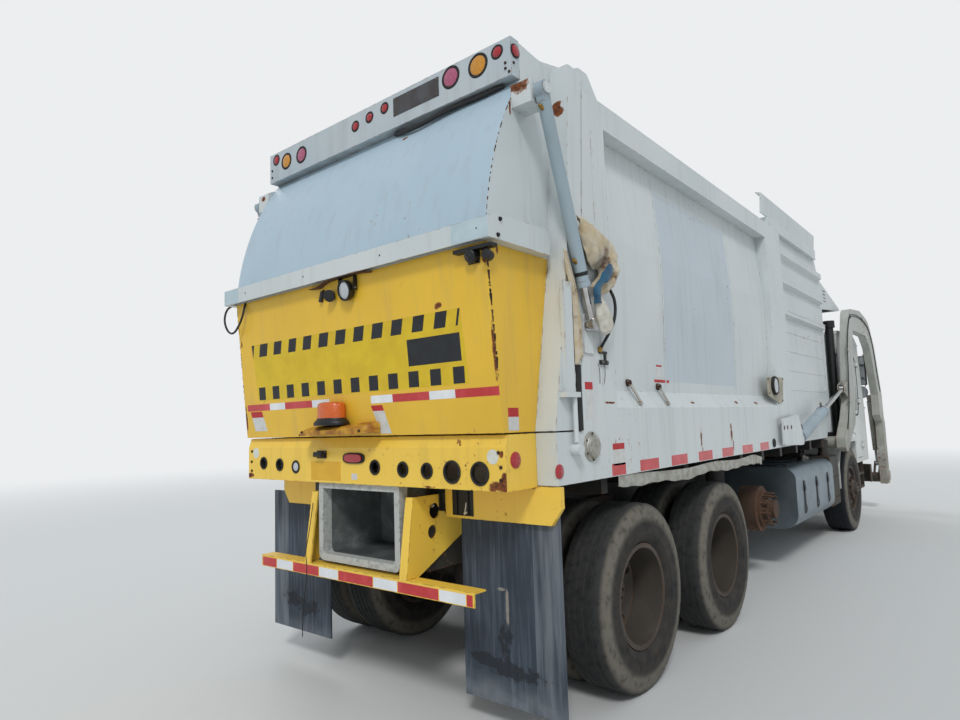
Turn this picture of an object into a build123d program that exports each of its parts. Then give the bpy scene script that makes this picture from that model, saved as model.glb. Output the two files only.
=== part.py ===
from build123d import *
from math import atan2, cos, degrees, hypot, pi, radians, sin
import os

# Front-loading refuse truck, millimetres. X is across (the truck's right side is -X),
# -Y is forward and Z is up from the ground. All pieces are laid out from the rearmost
# axle (Y = 0) and moved at the end, so that Y = 0 becomes the middle of the length.
rear_reach = 1290            # rearmost axle to the back of the tailgate's guard
front_reach = 8760           # rearmost axle to the front of the arm ends
shift_y = (front_reach - rear_reach) / 2

# Running gear
tyre_d = 1054
tyre_w = 280
bead_d = 568
dual_spacing = 343
dual_track = 1816
tandem_spacing = 1350
pusher_y = -2950
pusher_hub_z = 660
pusher_x = 1000              # middle of the truck to the bare hub's flange
pusher_camber = 0.35         # degrees, each spindle's outer end hangs lower
front_axle_y = -6240
front_tyre_d = 1076
front_tyre_w = 312
front_track = 2080
kingpin_x = 860
spindle_r = 45
fit_gap = 0.3                # around a shaft or under a shoe
drum_d = 420

# Chassis
rail_outer = 430
rail_h = 280
rail_top = 1040
rail_flange = 90
rail_web = 10
rail_rear_y = rear_reach - 310
rail_front_y = -7750

# Load body
body_half = 1220
body_bottom = 1235
body_rear_y = rear_reach - 1040
body_front_y = -3400
load_half = body_half - 135
load_floor = 1290
load_top = 3400
roof_t = 60
roof_crown = 3490
ledge_low = 1610
ledge_high = 1715
side_low_half = body_half - 70
side_bulge_half = body_half - 52
side_top_half = body_half - 95
rail_low = 3240
post_front_y = -2900
joint_top = (rear_reach - 820, 3490)      # tailgate joint line, as (y, z)
joint_low = (rear_reach - 618, 1240)
joint_gap = 8

# Hopper, ahead of the load body
hopper_half = body_half - 120
hopper_wall = 30
hopper_front_y = -5680
hopper_top = 3580
hopper_slope_z = 3130
hopper_slope_y = -5400
rib_depth = 45
rib_h = 90
rib_z = (2610, 2950, 3260)
deflector_top = 3800

# Tailgate
gate_hinge = (rear_reach - 970, 3560)
gate_half = body_half - 120
gate_wall = 40
gate_bottom = 1500
gate_frame_y = rear_reach - 400   # back of the wide frame at its foot
gate_frame_d = 148
guard_bottom = 2400
guard_h = 125
bar_y = rear_reach - 385
bar_low = 3330
bar_top = 3540
bar_depth = 70

# Loader arms
arm_in = body_half - 35
arm_t = 100
arm_pivot = (-5560, 1170)
arm_lug = (-5820, 1840)
torque_r = 75
fork_pivot = (-8470, 500)
fork_len = 1850
fork_x = 620

# Cylinders: (y, z) of each pin
eye_half = 24                # half the width of a rod's eye
lift_base = (-3500, 1285)
lift_x = body_half + 8
lift_barrel_d = 120
gate_cyl_top = (rear_reach - 340, 3200)
gate_cyl_low = (rear_reach - 730, 2050)
gate_cyl_x = body_half + 40
latch_pin = (rear_reach - 550, 1402)      # on the body's sill, below the tailgate's latch
latch_boss_r = 30
fork_cyl_top = (-8400, 1760)
fork_lever = 260
fork_lever_angle = 130
fork_cyl_x = arm_in - 60

# Cab
cab_half = body_half - 90
cab_rear_y = -6250
cab_front_y = -7880
cab_wall = 50
cab_floor = 1160
cab_sill = 820
cab_roof = 2660
step_y = -6960               # where the low front part of the cab floor begins
door_rear_y = -6620
door_front_y = -7440
door_top = cab_roof - 260
door_gap = 8
door_hinge_z = (1060, 1700, door_top - 160)
door_pin_r = 8
knuckle_r = 12
glass_t = 6
rear_window_z = (cab_roof - 760, cab_roof - 310)
screen_low = 1560
tunnel_half = 445
tunnel_top = 1430
gearbox_top = 1000
gearbox_front_y = -6320

# Light panel, flaps and bar below the tailgate
panel_half = gate_half
panel_low = 1227
panel_top = gate_bottom - joint_gap
panel_fold = 60              # leaning strip along the panel's top
panel_y = rear_reach - 150
flap_y = rear_reach - 430
flap_w = 630
flap_low = 130
flap_in = 575
hanger_low = 1045            # lower edge of the sheets that carry the flaps
bar_half = 900
bar_z = 720
under_bar_y = rear_reach - 127


def block(x0, x1, y0, y1, z0, z1):
    """A box between two corners."""
    size = (abs(x1 - x0), abs(y1 - y0), abs(z1 - z0))
    return Pos((x0 + x1) / 2, (y0 + y1) / 2, (z0 + z1) / 2) * Box(*size)


def plate(points, corners=()):
    """A flat face through the points, with (index, radius) pairs for its rounded corners."""
    face = make_face(Polyline(*points, close=True))
    for index, radius in corners:
        corner = face.vertices().sort_by_distance((*points[index], 0))[0]
        face = fillet(corner, radius)
    return face


def side_plate(points, x0, x1, corners=()):
    """A profile of (y, z) points made solid from x0 to x1."""
    return extrude(Plane.YZ.offset(x0) * plate(points, corners), x1 - x0)


def section(points, y0, y1, corners=()):
    """A cross-section of (x, z) points made solid from y0 to y1."""
    plane = Plane(origin=(0, y1, 0), x_dir=(1, 0, 0), z_dir=(0, -1, 0))
    return extrude(plane * plate(points, corners), y1 - y0)


def rod_x(x0, x1, y, z, radius):
    """A round bar along X."""
    bar = Cylinder(radius, abs(x1 - x0))
    return Pos((x0 + x1) / 2, y, z) * Rot(0, 90, 0) * bar


def spun_x(profile, x, y, z, side):
    """A solid of revolution about X from (radius, outward) points, on side +1 or -1."""
    turned = revolve(plate(profile), Axis.Y)
    return Pos(x, y, z) * Rot(0, 0, -90 * side) * turned


def both(solid):
    """The solid and its mirror image on the truck's other side."""
    return solid + mirror(solid, Plane.YZ)


def along(start, end):
    """Length and slope in degrees of the line from one (y, z) point to another."""
    dy, dz = end[0] - start[0], end[1] - start[1]
    return hypot(dy, dz), degrees(atan2(dz, dy))


def toward(start, end, distance):
    """The (y, z) point at a distance from start on the way to end."""
    length, slope = along(start, end)
    share = distance / length
    return start[0] + share * (end[0] - start[0]), start[1] + share * (end[1] - start[1])


def round_link(start, end, radius, x):
    """A round bar in a plane of constant x, from one (y, z) point to another."""
    length, slope = along(start, end)
    middle = ((start[0] + end[0]) / 2, (start[1] + end[1]) / 2)
    return Pos(x, *middle) * Rot(slope, 0, 0) * Rot(90, 0, 0) * Cylinder(radius, length)


# Wheels

def tyre(width, diameter):
    """Tyre section as (radius, outward) points about its own middle."""
    outer, bead, half = diameter / 2, bead_d / 2 + fit_gap, width / 2
    return [(bead, -half + 45), (bead + 16, -half + 45), (bead + 45, -half + 6), (outer - 90, -half),
            (outer - 22, -half + 18), (outer, -half + 45), (outer, half - 45), (outer - 22, half - 18),
            (outer - 90, half), (bead + 45, half - 6), (bead + 16, half - 45), (bead, half - 45)]


def dual_tyres(side, y):
    """Two tyres side by side on one hub."""
    middle = side * dual_track / 2
    pair = [spun_x(tyre(tyre_w, tyre_d), middle + side * offset, y, tyre_d / 2, side)
            for offset in (-dual_spacing / 2, dual_spacing / 2)]
    return pair[0] + pair[1]


rim_flange_r = bead_d / 2 + 12
rim_in_r = bead_d / 2 - 14
hand_hole_r = 24


def hand_holes(x0, x1, y, z):
    """Five bars along X that cut a wheel disc's hand holes."""
    pitch_r = rim_in_r - hand_hole_r - 10
    turns = [2 * pi * (index + 0.25) / 5 for index in range(5)]
    return [rod_x(x0, x1, y + pitch_r * cos(turn), z + pitch_r * sin(turn), hand_hole_r) for turn in turns]


def barrel(middle, half):
    """Rim barrel with its two flanges, as (radius, outward) points."""
    seat = bead_d / 2
    return [(rim_in_r, middle - half), (rim_flange_r, middle - half), (rim_flange_r, middle - half + 10),
            (seat, middle - half + 14), (seat, middle + half - 14), (rim_flange_r, middle + half - 10),
            (rim_flange_r, middle + half), (rim_in_r, middle + half)]


def dual_rims(side, y):
    """Two dished rims, their hub and the brake drum, all turning together."""
    offset = dual_spacing / 2
    half_rim = tyre_w / 2 - 29
    disc_r, hub_r = 165, 112
    profiles = [barrel(offset, half_rim), barrel(-offset, half_rim)]
    for way in (1, -1):
        profiles.append([(hub_r, 0), (hub_r, 12 * way), (disc_r, 12 * way), (rim_in_r + 4, 84 * way),
                         (rim_in_r + 4, 66 * way), (disc_r + 10, 0)])
    profiles.append([(spindle_r + fit_gap, -230), (hub_r, -230), (hub_r + 6, -40), (hub_r + 6, 60),
                     (86, 78), (86, 120), (0, 120), (0, 60), (spindle_r + fit_gap, 60)])
    profiles.append([(hub_r, -30), (drum_d / 2, -30), (drum_d / 2, -215), (drum_d / 2 - 16, -215),
                     (drum_d / 2 - 16, -46), (hub_r, -46)])
    solid = None
    for profile in profiles:
        piece = spun_x(profile, side * dual_track / 2, y, tyre_d / 2, side)
        solid = piece if solid is None else solid + piece
    middle = side * dual_track / 2
    for hole in hand_holes(middle + side * 14, middle + side * 95, y, tyre_d / 2):
        solid -= hole
    return solid


def front_tyre(side):
    return spun_x(tyre(front_tyre_w, front_tyre_d), side * front_track / 2, front_axle_y, front_tyre_d / 2, side)


def front_rim(side):
    """Steered wheel: the disc lies near the outer edge and the hub stands out of it."""
    half_rim = front_tyre_w / 2 - 29
    face, hub_r, disc_r = 118, 112, 168
    profiles = [barrel(0, half_rim),
                [(hub_r, face), (hub_r, face - 14), (disc_r, face - 14), (rim_in_r + 4, 58), (rim_in_r + 4, 76),
                 (disc_r + 4, face)],
                [(spindle_r + fit_gap, -70), (hub_r, -70), (hub_r + 4, face + 30), (82, face + 44),
                 (82, face + 80), (0, face + 80), (0, 80), (spindle_r + fit_gap, 80)],
                [(hub_r, 80), (drum_d / 2, 80), (drum_d / 2, -62), (drum_d / 2 - 16, -62),
                 (drum_d / 2 - 16, 66), (hub_r, 66)]]
    solid = None
    for profile in profiles:
        piece = spun_x(profile, side * front_track / 2, front_axle_y, front_tyre_d / 2, side)
        solid = piece if solid is None else solid + piece
    middle = side * front_track / 2
    for hole in hand_holes(middle + side * 62, middle + side * 125, front_axle_y, front_tyre_d / 2):
        solid -= hole
    return solid


def cambered(solid, side):
    """The solid leant by the lift axle's camber about the middle of the hub's flange."""
    to_origin = Pos(-side * pusher_x, -pusher_y, -pusher_hub_z)
    return Pos(side * pusher_x, pusher_y, pusher_hub_z) * Rot(0, side * pusher_camber, 0) * to_origin * solid


def pusher_hub(side):
    """Bare hub and drum of the lift axle, with ten wheel studs and no wheel."""
    hub_r, flange, studs, pitch_r = 108, 168, 10, 142.9
    x = side * pusher_x
    profiles = [[(hub_r, 14), (drum_d / 2, 0), (drum_d / 2, -170), (drum_d / 2 - 18, -170), (drum_d / 2 - 18, -16),
                 (hub_r, -4)],
                [(spindle_r + fit_gap, -175), (hub_r, -175), (hub_r, 70), (84, 84), (84, 130), (0, 130),
                 (0, 40), (spindle_r + fit_gap, 40)],
                [(hub_r - 4, 0), (flange, 4), (flange, 28), (hub_r - 4, 28)]]
    solid = None
    for profile in profiles:
        piece = spun_x(profile, x, pusher_y, pusher_hub_z, side)
        solid = piece if solid is None else solid + piece
    for index in range(studs):
        angle = 2 * pi * (index + side / 4) / studs
        y, z = pusher_y + pitch_r * cos(angle), pusher_hub_z + pitch_r * sin(angle)
        solid += rod_x(x + side * 20, x + side * 110, y, z, 11)
    return cambered(solid, side)


# Axles and chassis

def axle_tube(y, z, reach, radius):
    return rod_x(-reach, reach, y, z, radius)


def rear_axles():
    """Two driven axles with their bowls, tied by the walking beams and springs."""
    inner = dual_track / 2 - 236
    solid = None
    for y in (0, -tandem_spacing):
        axle = axle_tube(y, tyre_d / 2, inner, 62)
        axle += axle_tube(y, tyre_d / 2, dual_track / 2 + 50, spindle_r)
        bowl = Pos(0, y, tyre_d / 2) * Sphere(210)
        axle += bowl & block(-150, 150, y - 260, y + 260, 200, 900)
        solid = axle if solid is None else solid + axle
    middle = -tandem_spacing / 2
    z = tyre_d / 2
    beam = [(60, z - 62), (120, z + 20), (60, z + 80), (middle + 120, z + 40), (middle - 120, z + 40),
            (-tandem_spacing - 60, z + 80), (-tandem_spacing - 120, z + 20), (-tandem_spacing - 60, z - 62),
            (middle, z - 120)]
    solid += both(side_plate(beam, 455, 515))
    saddle = [(middle + 180, z + 30), (middle - 180, z + 30), (middle - 300, rail_top - 60),
              (middle + 300, rail_top - 60)]
    solid += both(side_plate(saddle, rail_outer, 500))
    return solid + Pos(0, middle, z) * Rot(90, 0, 0) * Cylinder(42, tandem_spacing - 300)


def pusher_axle():
    """Lift axle beam, hung from the rails on trailing arms and air bags."""
    z, drop = pusher_hub_z, 235
    end = pusher_x - 185
    right = [(480, z - drop - 60), (640, z - 60), (end, z - 60), (end, z + 60), (620, z + 60),
             (460, z - drop + 60)]
    left = [(-x, z) for x, z in reversed(right)]
    beam = section(right + left, pusher_y - 60, pusher_y + 60)
    beam += both(cambered(rod_x(end - 120, pusher_x + 30, pusher_y, z, spindle_r), 1))
    arm = [(pusher_y + 61, z - 20), (pusher_y + 61, z - 170), (pusher_y - 60, z - 170),
           (pusher_y - 420, rail_top - 330), (pusher_y - 440, rail_top - 150), (pusher_y - 360, rail_top - 150)]
    beam += both(side_plate(arm, rail_outer, rail_outer + 70))
    bag = Cylinder(90, rail_top - z - 60)
    seat = block(rail_outer, rail_outer + 230, pusher_y - 90, pusher_y + 90, rail_top - 14, rail_top)
    beam += both(Pos(rail_outer + 140, pusher_y, (rail_top + z + 40) / 2) * bag + seat)
    return beam


def front_axle():
    """Dropped I-beam between the kingpins, on leaf springs under the rails."""
    z = front_tyre_d / 2
    low, boss_r = z - 110, 45
    right = [(560, low - 55), (kingpin_x - 120, z - 60), (kingpin_x, z - 60), (kingpin_x, z + 60),
             (kingpin_x - 80, z + 60), (560, low + 55)]
    left = [(-x, z) for x, z in reversed(right)]
    beam = section(right + left, front_axle_y - boss_r, front_axle_y + boss_r)
    beam += both(Pos(kingpin_x, front_axle_y, z) * Cylinder(boss_r, 120))
    beam -= both(Pos(kingpin_x, front_axle_y, z) * Cylinder(24 + fit_gap, 200))
    under = rail_top - rail_h
    leaf = [(front_axle_y + 640, under - 70), (front_axle_y + 300, low + 110), (front_axle_y, low + 55),
            (front_axle_y - 300, low + 110), (front_axle_y - 640, under - 70), (front_axle_y - 640, under),
            (front_axle_y - 560, under), (front_axle_y - 300, low + 160), (front_axle_y, low + 130),
            (front_axle_y + 300, low + 160), (front_axle_y + 560, under), (front_axle_y + 640, under)]
    return beam + both(side_plate(leaf, rail_outer - 45, rail_outer + 45))


def knuckle(side):
    """Steering knuckle: two ears on the kingpin, and the spindle."""
    z = front_tyre_d / 2
    x = side * kingpin_x
    solid = Pos(x, front_axle_y, z) * Cylinder(24, 210)
    for way in (1, -1):
        solid += block(x - side * 50, x + side * 95, front_axle_y - 50, front_axle_y + 50,
                       z + way * 60.5, z + way * 105)
    solid += block(x + side * 52, x + side * 95, front_axle_y - 50, front_axle_y + 50, z - 105, z + 105)
    end = front_track / 2 + 70
    return solid + rod_x(x + side * 60, side * end, front_axle_y, z, spindle_r)


def frame_rails():
    """Two channel rails, cross members, the arm shaft's bearings and the subframe sills."""
    inner = rail_outer - rail_flange
    channel = [(rail_outer, rail_top), (inner, rail_top), (inner, rail_top - rail_web),
               (rail_outer - rail_web, rail_top - rail_web), (rail_outer - rail_web, rail_top - rail_h + rail_web),
               (inner, rail_top - rail_h + rail_web), (inner, rail_top - rail_h), (rail_outer, rail_top - rail_h)]
    solid = both(section(channel, rail_front_y, rail_rear_y))
    for y in (rail_rear_y - 400, -675, -2100, -3500, -4700, -5420, -7650):
        solid += block(-rail_outer + rail_web, rail_outer - rail_web, y - 40, y + 40,
                       rail_top - 150, rail_top - 50)
    sill_front = arm_pivot[0] + 220
    solid += both(block(rail_outer - 90, rail_outer, sill_front, gate_frame_y, rail_top, body_bottom))
    for y in range(-5200, 500, 600):
        solid += block(-load_half, load_half, y - 35, y + 35, body_bottom - 110, body_bottom)
    bearing = [(arm_pivot[0] - 130, rail_top), (arm_pivot[0] + 130, rail_top),
               (arm_pivot[0] + 100, arm_pivot[1] + 60), (arm_pivot[0] + 50, arm_pivot[1] + 110),
               (arm_pivot[0] - 50, arm_pivot[1] + 110), (arm_pivot[0] - 100, arm_pivot[1] + 60)]
    seat = side_plate(bearing, rail_outer - 90, rail_outer)
    seat -= rod_x(rail_outer - 100, rail_outer + 10, *arm_pivot, torque_r + 1)
    front_mount = block(rail_outer, tunnel_half, step_y - 400, step_y - 280, cab_sill + 60, rail_top - 40)
    rear_mount = block(rail_outer, rail_outer + 130, cab_rear_y - 160, cab_rear_y - 60, rail_top - 140, cab_floor)
    return solid + both(seat + front_mount + rear_mount)


# Load body and hopper

def body_ring(half_low, y0, y1, recessed):
    """One stretch of the body's cross-section, with its side panels set in or flush."""
    right = [(body_half, body_bottom), (body_half, ledge_low)]
    if recessed:
        right += [(side_low_half, ledge_high), (side_bulge_half, (ledge_high + rail_low) / 2 - 150),
                  (side_bulge_half, (ledge_high + rail_low) / 2 + 150), (side_top_half, rail_low - 50),
                  (side_top_half, rail_low), (body_half, rail_low)]
    right += [(body_half, load_top), (body_half - 90, load_top + roof_t)]
    left = [(-x, z) for x, z in reversed(right)]
    ring = section(right + [(0, roof_crown)] + left, y0, y1)
    return ring - block(-half_low, half_low, y0 - 1, y1 + 1, load_floor, load_top)


def joint_y(z, offset=0):
    """Y of the tailgate joint at a height."""
    share = (z - joint_low[1]) / (joint_top[1] - joint_low[1])
    return joint_low[0] + share * (joint_top[0] - joint_low[0]) + offset


def body_shell():
    """Load body: floor, sides with their set-in panels, rear frame, front posts and roof."""
    solid = body_ring(load_half, post_front_y, body_rear_y, True)
    solid += body_ring(load_half, body_front_y, post_front_y, False)
    rear = body_ring(load_half, body_rear_y, joint_low[0], False)
    trim = [(body_rear_y - 10, 1000), (joint_y(1000), 1000), (joint_y(3700), 3700), (body_rear_y - 10, 3700)]
    solid += rear & side_plate(trim, -body_half - 10, body_half + 10)
    lug = [(gate_hinge[0] - 260, roof_crown - 60), (gate_hinge[0] + 70, roof_crown - 60),
           (gate_hinge[0] + 62, gate_hinge[1] + 40), (gate_hinge[0] + 20, gate_hinge[1] + 62),
           (gate_hinge[0] - 80, gate_hinge[1] + 62)]
    for x in (gate_half - 140, gate_half + 10):
        solid += both(side_plate(lug, x - 15, x + 15))
    solid += both(rod_x(gate_half - 155, gate_half + 25, *gate_hinge, 25))
    boss = [(gate_cyl_low[0] - 60, gate_cyl_low[1] - 150), (joint_y(gate_cyl_low[1] - 150) - 12, gate_cyl_low[1] - 150),
            (joint_y(gate_cyl_low[1] + 60) - 12, gate_cyl_low[1] + 60), (gate_cyl_low[0] - 60, gate_cyl_low[1] + 60)]
    solid += both(side_plate(boss, body_half, gate_cyl_x - eye_half - 6))
    sill = [(joint_low[0], body_bottom), (gate_frame_y, body_bottom), (gate_frame_y, gate_bottom - joint_gap),
            (joint_y(gate_bottom - joint_gap), gate_bottom - joint_gap)]
    solid += side_plate(sill, -body_half, body_half)
    return solid + both(rod_x(body_half, body_half + 50, *latch_pin, latch_boss_r))


def hopper_shell():
    """Open-topped hopper: ribbed sides, front wall and the floor's front part."""
    side = [(body_front_y, body_bottom), (arm_pivot[0] + 170, body_bottom), (arm_pivot[0] + 110, 1300),
            (hopper_front_y, 1300), (hopper_front_y, hopper_slope_z), (hopper_slope_y, hopper_top),
            (body_front_y, hopper_top)]
    solid = both(side_plate(side, hopper_half - hopper_wall, hopper_half))
    low = [(body_front_y, body_bottom), (arm_pivot[0] + 170, body_bottom), (arm_pivot[0] + 110, 1300),
           (hopper_front_y, 1300), (hopper_front_y, 1355), (arm_pivot[0] + 60, 1355),
           (arm_pivot[0] + 130, load_floor), (body_front_y, load_floor)]
    solid += side_plate(low, -hopper_half, hopper_half)
    front = [(hopper_front_y, 1300), (hopper_front_y, hopper_slope_z), (hopper_slope_y, hopper_top),
             (hopper_slope_y + 50, hopper_top), (hopper_front_y + 50, hopper_slope_z), (hopper_front_y + 50, 1300)]
    solid += side_plate(front, -hopper_half, hopper_half)
    for z in rib_z:
        rib = [(hopper_half, z - rib_h / 2), (hopper_half + rib_depth, z - rib_h / 6),
               (hopper_half + rib_depth, z + rib_h / 2), (hopper_half, z + rib_h / 2)]
        solid += both(section(rib, hopper_front_y + 120, body_front_y))
    rail = [(hopper_half - hopper_wall, hopper_top - 120), (hopper_half + rib_depth, hopper_top - 120),
            (hopper_half + rib_depth, hopper_top), (hopper_half - hopper_wall, hopper_top)]
    solid += both(section(rail, hopper_slope_y + 60, body_front_y))
    solid += block(-hopper_half, hopper_half, body_front_y - 60, body_front_y, load_top, hopper_top)
    flange = [(hopper_half, body_bottom), (body_half, body_bottom), (body_half, load_top), (hopper_half, load_top)]
    solid += both(section(flange, body_front_y - 20, body_front_y))
    return solid + both(lift_bracket())


def lift_bracket():
    """Ears and pin for the lift cylinder's base; the outer one is a wide plate on the front post."""
    y, z = lift_base
    far, near = lift_x - 30, lift_x + 30
    ear = [(body_front_y - 20, z - 50), (body_front_y - 20, z + 140), (y - 10, z + 55), (y - 52, z + 20),
           (y - 52, z - 30), (y - 20, z - 50)]
    wide = [(post_front_y + 60, z - 25), (post_front_y + 60, z + 215), (body_front_y, z + 250), (y - 10, z + 55),
            (y - 52, z + 20), (y - 52, z - 30), (y - 20, z - 50), (body_front_y, z - 50)]
    solid = side_plate(ear, far - 16, far) + side_plate(wide, near, near + 16)
    solid += block(body_half, near, body_front_y - 20, post_front_y, z - 20, z + 200)
    return solid + rod_x(far - 16, near + 16, y, z, 28)


def hopper_deflectors():
    """Side wings on top of the hopper that guide the load in."""
    wing = [(hopper_half + 20, hopper_top), (hopper_half + 34, deflector_top - 20),
            (hopper_half - 20, deflector_top), (hopper_half - 20, deflector_top - 12),
            (hopper_half + 20, deflector_top - 30), (hopper_half + 8, hopper_top)]
    return both(section(wing, hopper_slope_y, body_front_y + 200))


def cab_guard():
    """Wedge-shaped canopy from the hopper's front wall over the back of the cab."""
    tip_y, tip_z, half = hopper_front_y - 1150, hopper_top - 570, hopper_half - 10
    nose = [(hopper_front_y, hopper_top - 315), (tip_y, tip_z), (tip_y, tip_z - 25), (hopper_front_y, hopper_top - 700)]
    inner = [(hopper_front_y + 1, hopper_top - 335), (tip_y + 70, tip_z - 5), (tip_y + 70, tip_z - 30),
             (hopper_front_y + 1, hopper_top - 720)]
    solid = side_plate(nose, -half, half) - side_plate(inner, -half + 15, half - 15)
    for index in range(4):
        z, y = hopper_top - 440 - 45 * index, hopper_front_y - 180
        solid -= both(block(half - 20, half + 5, y - 160, y, z, z + 18))
    return solid


def packer_panel():
    """Blade that sweeps the load back along the floor, with its top plate."""
    half = load_half - 25
    profile = [(hopper_front_y + 560, load_floor + 6), (hopper_front_y + 640, load_floor + 6),
               (hopper_front_y + 640, 2300), (hopper_front_y + 120, 2620), (hopper_front_y + 80, 2600),
               (hopper_front_y + 580, 2260), (hopper_front_y + 560, 2200)]
    solid = side_plate(profile, -half, half)
    for x in (-700, 0, 700):
        web = [(hopper_front_y + 570, load_floor + 110), (hopper_front_y + 570, 2250), (hopper_front_y + 300, 2420),
               (hopper_front_y + 300, load_floor + 370)]
        solid += side_plate(web, x - 15, x + 15)
    shoe = block(half - 60, half, hopper_front_y + 560, hopper_front_y + 640, load_floor + fit_gap, load_floor + 7)
    return solid + both(shoe)


# Tailgate

def gate_face(inset, bottom):
    """Side outline of the tailgate behind the joint; the upper back is an arc."""
    front_top = (joint_y(joint_top[1], joint_gap), joint_top[1])
    front_low = (joint_y(bottom, joint_gap), bottom)
    low_back = (rear_reach - 140 - inset, bottom)
    guard_back = (rear_reach - 55 - inset, guard_bottom)
    shell_low = (rear_reach - 65 - inset, guard_bottom + guard_h)
    shell_mid = (rear_reach - 180 - inset, 2960)
    shell_top = (bar_y - inset, bar_low)
    top_back = (bar_y - inset, bar_top - 10 - inset)
    lines = Polyline(front_top, front_low, low_back, guard_back, shell_low)
    lines += ThreePointArc(shell_low, shell_mid, shell_top)
    lines += Polyline(shell_top, top_back, front_top)
    return make_face(lines)


def gate_tub(half, inset, bottom):
    return extrude(Plane.YZ.offset(-half) * gate_face(inset, bottom), 2 * half)


def tailgate_shell():
    """Hollow tub with a wide frame at its open front, seating on the body's rear frame."""
    solid = gate_tub(gate_half, 0, gate_bottom)
    frame = [(joint_y(3490, joint_gap), 3490), (joint_y(gate_bottom, joint_gap), gate_bottom),
             (gate_frame_y, gate_bottom), (joint_y(guard_bottom) + gate_frame_d, guard_bottom),
             (joint_y(3490) + gate_frame_d, 3490)]
    solid += side_plate(frame, -body_half, body_half)
    hollow = gate_tub(gate_half - gate_wall, gate_wall, gate_bottom + gate_wall)
    solid -= hollow
    opening = [(joint_y(gate_bottom) - 60, gate_bottom + gate_wall), (joint_y(gate_bottom) + 200, gate_bottom + gate_wall),
               (joint_y(3400) + 160, 3400), (joint_y(3400) - 60, 3400)]
    solid -= side_plate(opening, -gate_half + gate_wall, gate_half - gate_wall)
    arm = [(gate_hinge[0], gate_hinge[1] - 55), (gate_hinge[0] + 330, 3470), (gate_hinge[0] + 360, 3530),
           (gate_hinge[0], gate_hinge[1] + 55), (gate_hinge[0] - 45, gate_hinge[1])]
    link = side_plate(arm, gate_half - 115, gate_half - 15, [(0, 40), (3, 40)])
    link -= rod_x(gate_half - 130, gate_half - 5, *gate_hinge, 26)
    y, z = gate_cyl_top
    ear = [(y - 90, z - 60), (y + 40, z - 60), (y + 40, z + 60), (y - 60, z + 110)]
    link += side_plate(ear, gate_half, gate_cyl_x - 36) + rod_x(gate_cyl_x - 40, gate_cyl_x - 28, y, z, 36)
    link += rod_x(gate_cyl_x - 30, gate_cyl_x + 28, y, z, 20) + rod_x(gate_cyl_x + 28, gate_cyl_x + 36, y, z, 30)
    return solid + both(link + gate_latch())


def gate_latch():
    """Flat bar, stop and turnbuckle that hold the tailgate shut, on its frame's side."""
    y, z = latch_pin[0] + 22, 2259
    foot = (y + 6, 1690)
    bar = [(y - 40, z), (y - 14, z), (y - 10, z - 34), (y + 10, z - 34), (y + 14, z), (y + 40, z),
           (foot[0] + 40, foot[1]), (foot[0] - 40, foot[1])]
    latch = side_plate(bar, body_half, body_half + 22)
    latch += block(body_half, body_half + 44, foot[0] - 56, foot[0] + 80, foot[1] - 26, foot[1])
    end = (latch_pin[0], latch_pin[1] + latch_boss_r + joint_gap)
    return latch + round_link((latch_pin[0], foot[1] - 20), end, 13, body_half + 22)


def tailgate_guard():
    """Deep channel across the tailgate that shields the lamps below it."""
    seat, half, front = rear_reach - 64, gate_half + 60, rear_reach - 510
    back = [(rear_reach, guard_bottom), (rear_reach, guard_bottom + guard_h - 25),
            (seat, guard_bottom + guard_h), (seat, guard_bottom + guard_h - 12),
            (rear_reach - 8, guard_bottom + guard_h - 32), (rear_reach - 8, guard_bottom)]
    solid = side_plate(back, -half, half)
    end = [(rear_reach, guard_bottom), (rear_reach, guard_bottom + guard_h - 25), (seat, guard_bottom + guard_h),
           (front, guard_bottom + guard_h + 10), (front, guard_bottom)]
    return solid + both(side_plate(end, gate_half + 1, half + 1))


def tailgate_light_bar():
    """Box across the top of the tailgate that holds the upper lamps."""
    return block(-gate_half + 1, gate_half - 1, bar_y, bar_y + bar_depth, bar_low, bar_top)


# Loader

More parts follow.
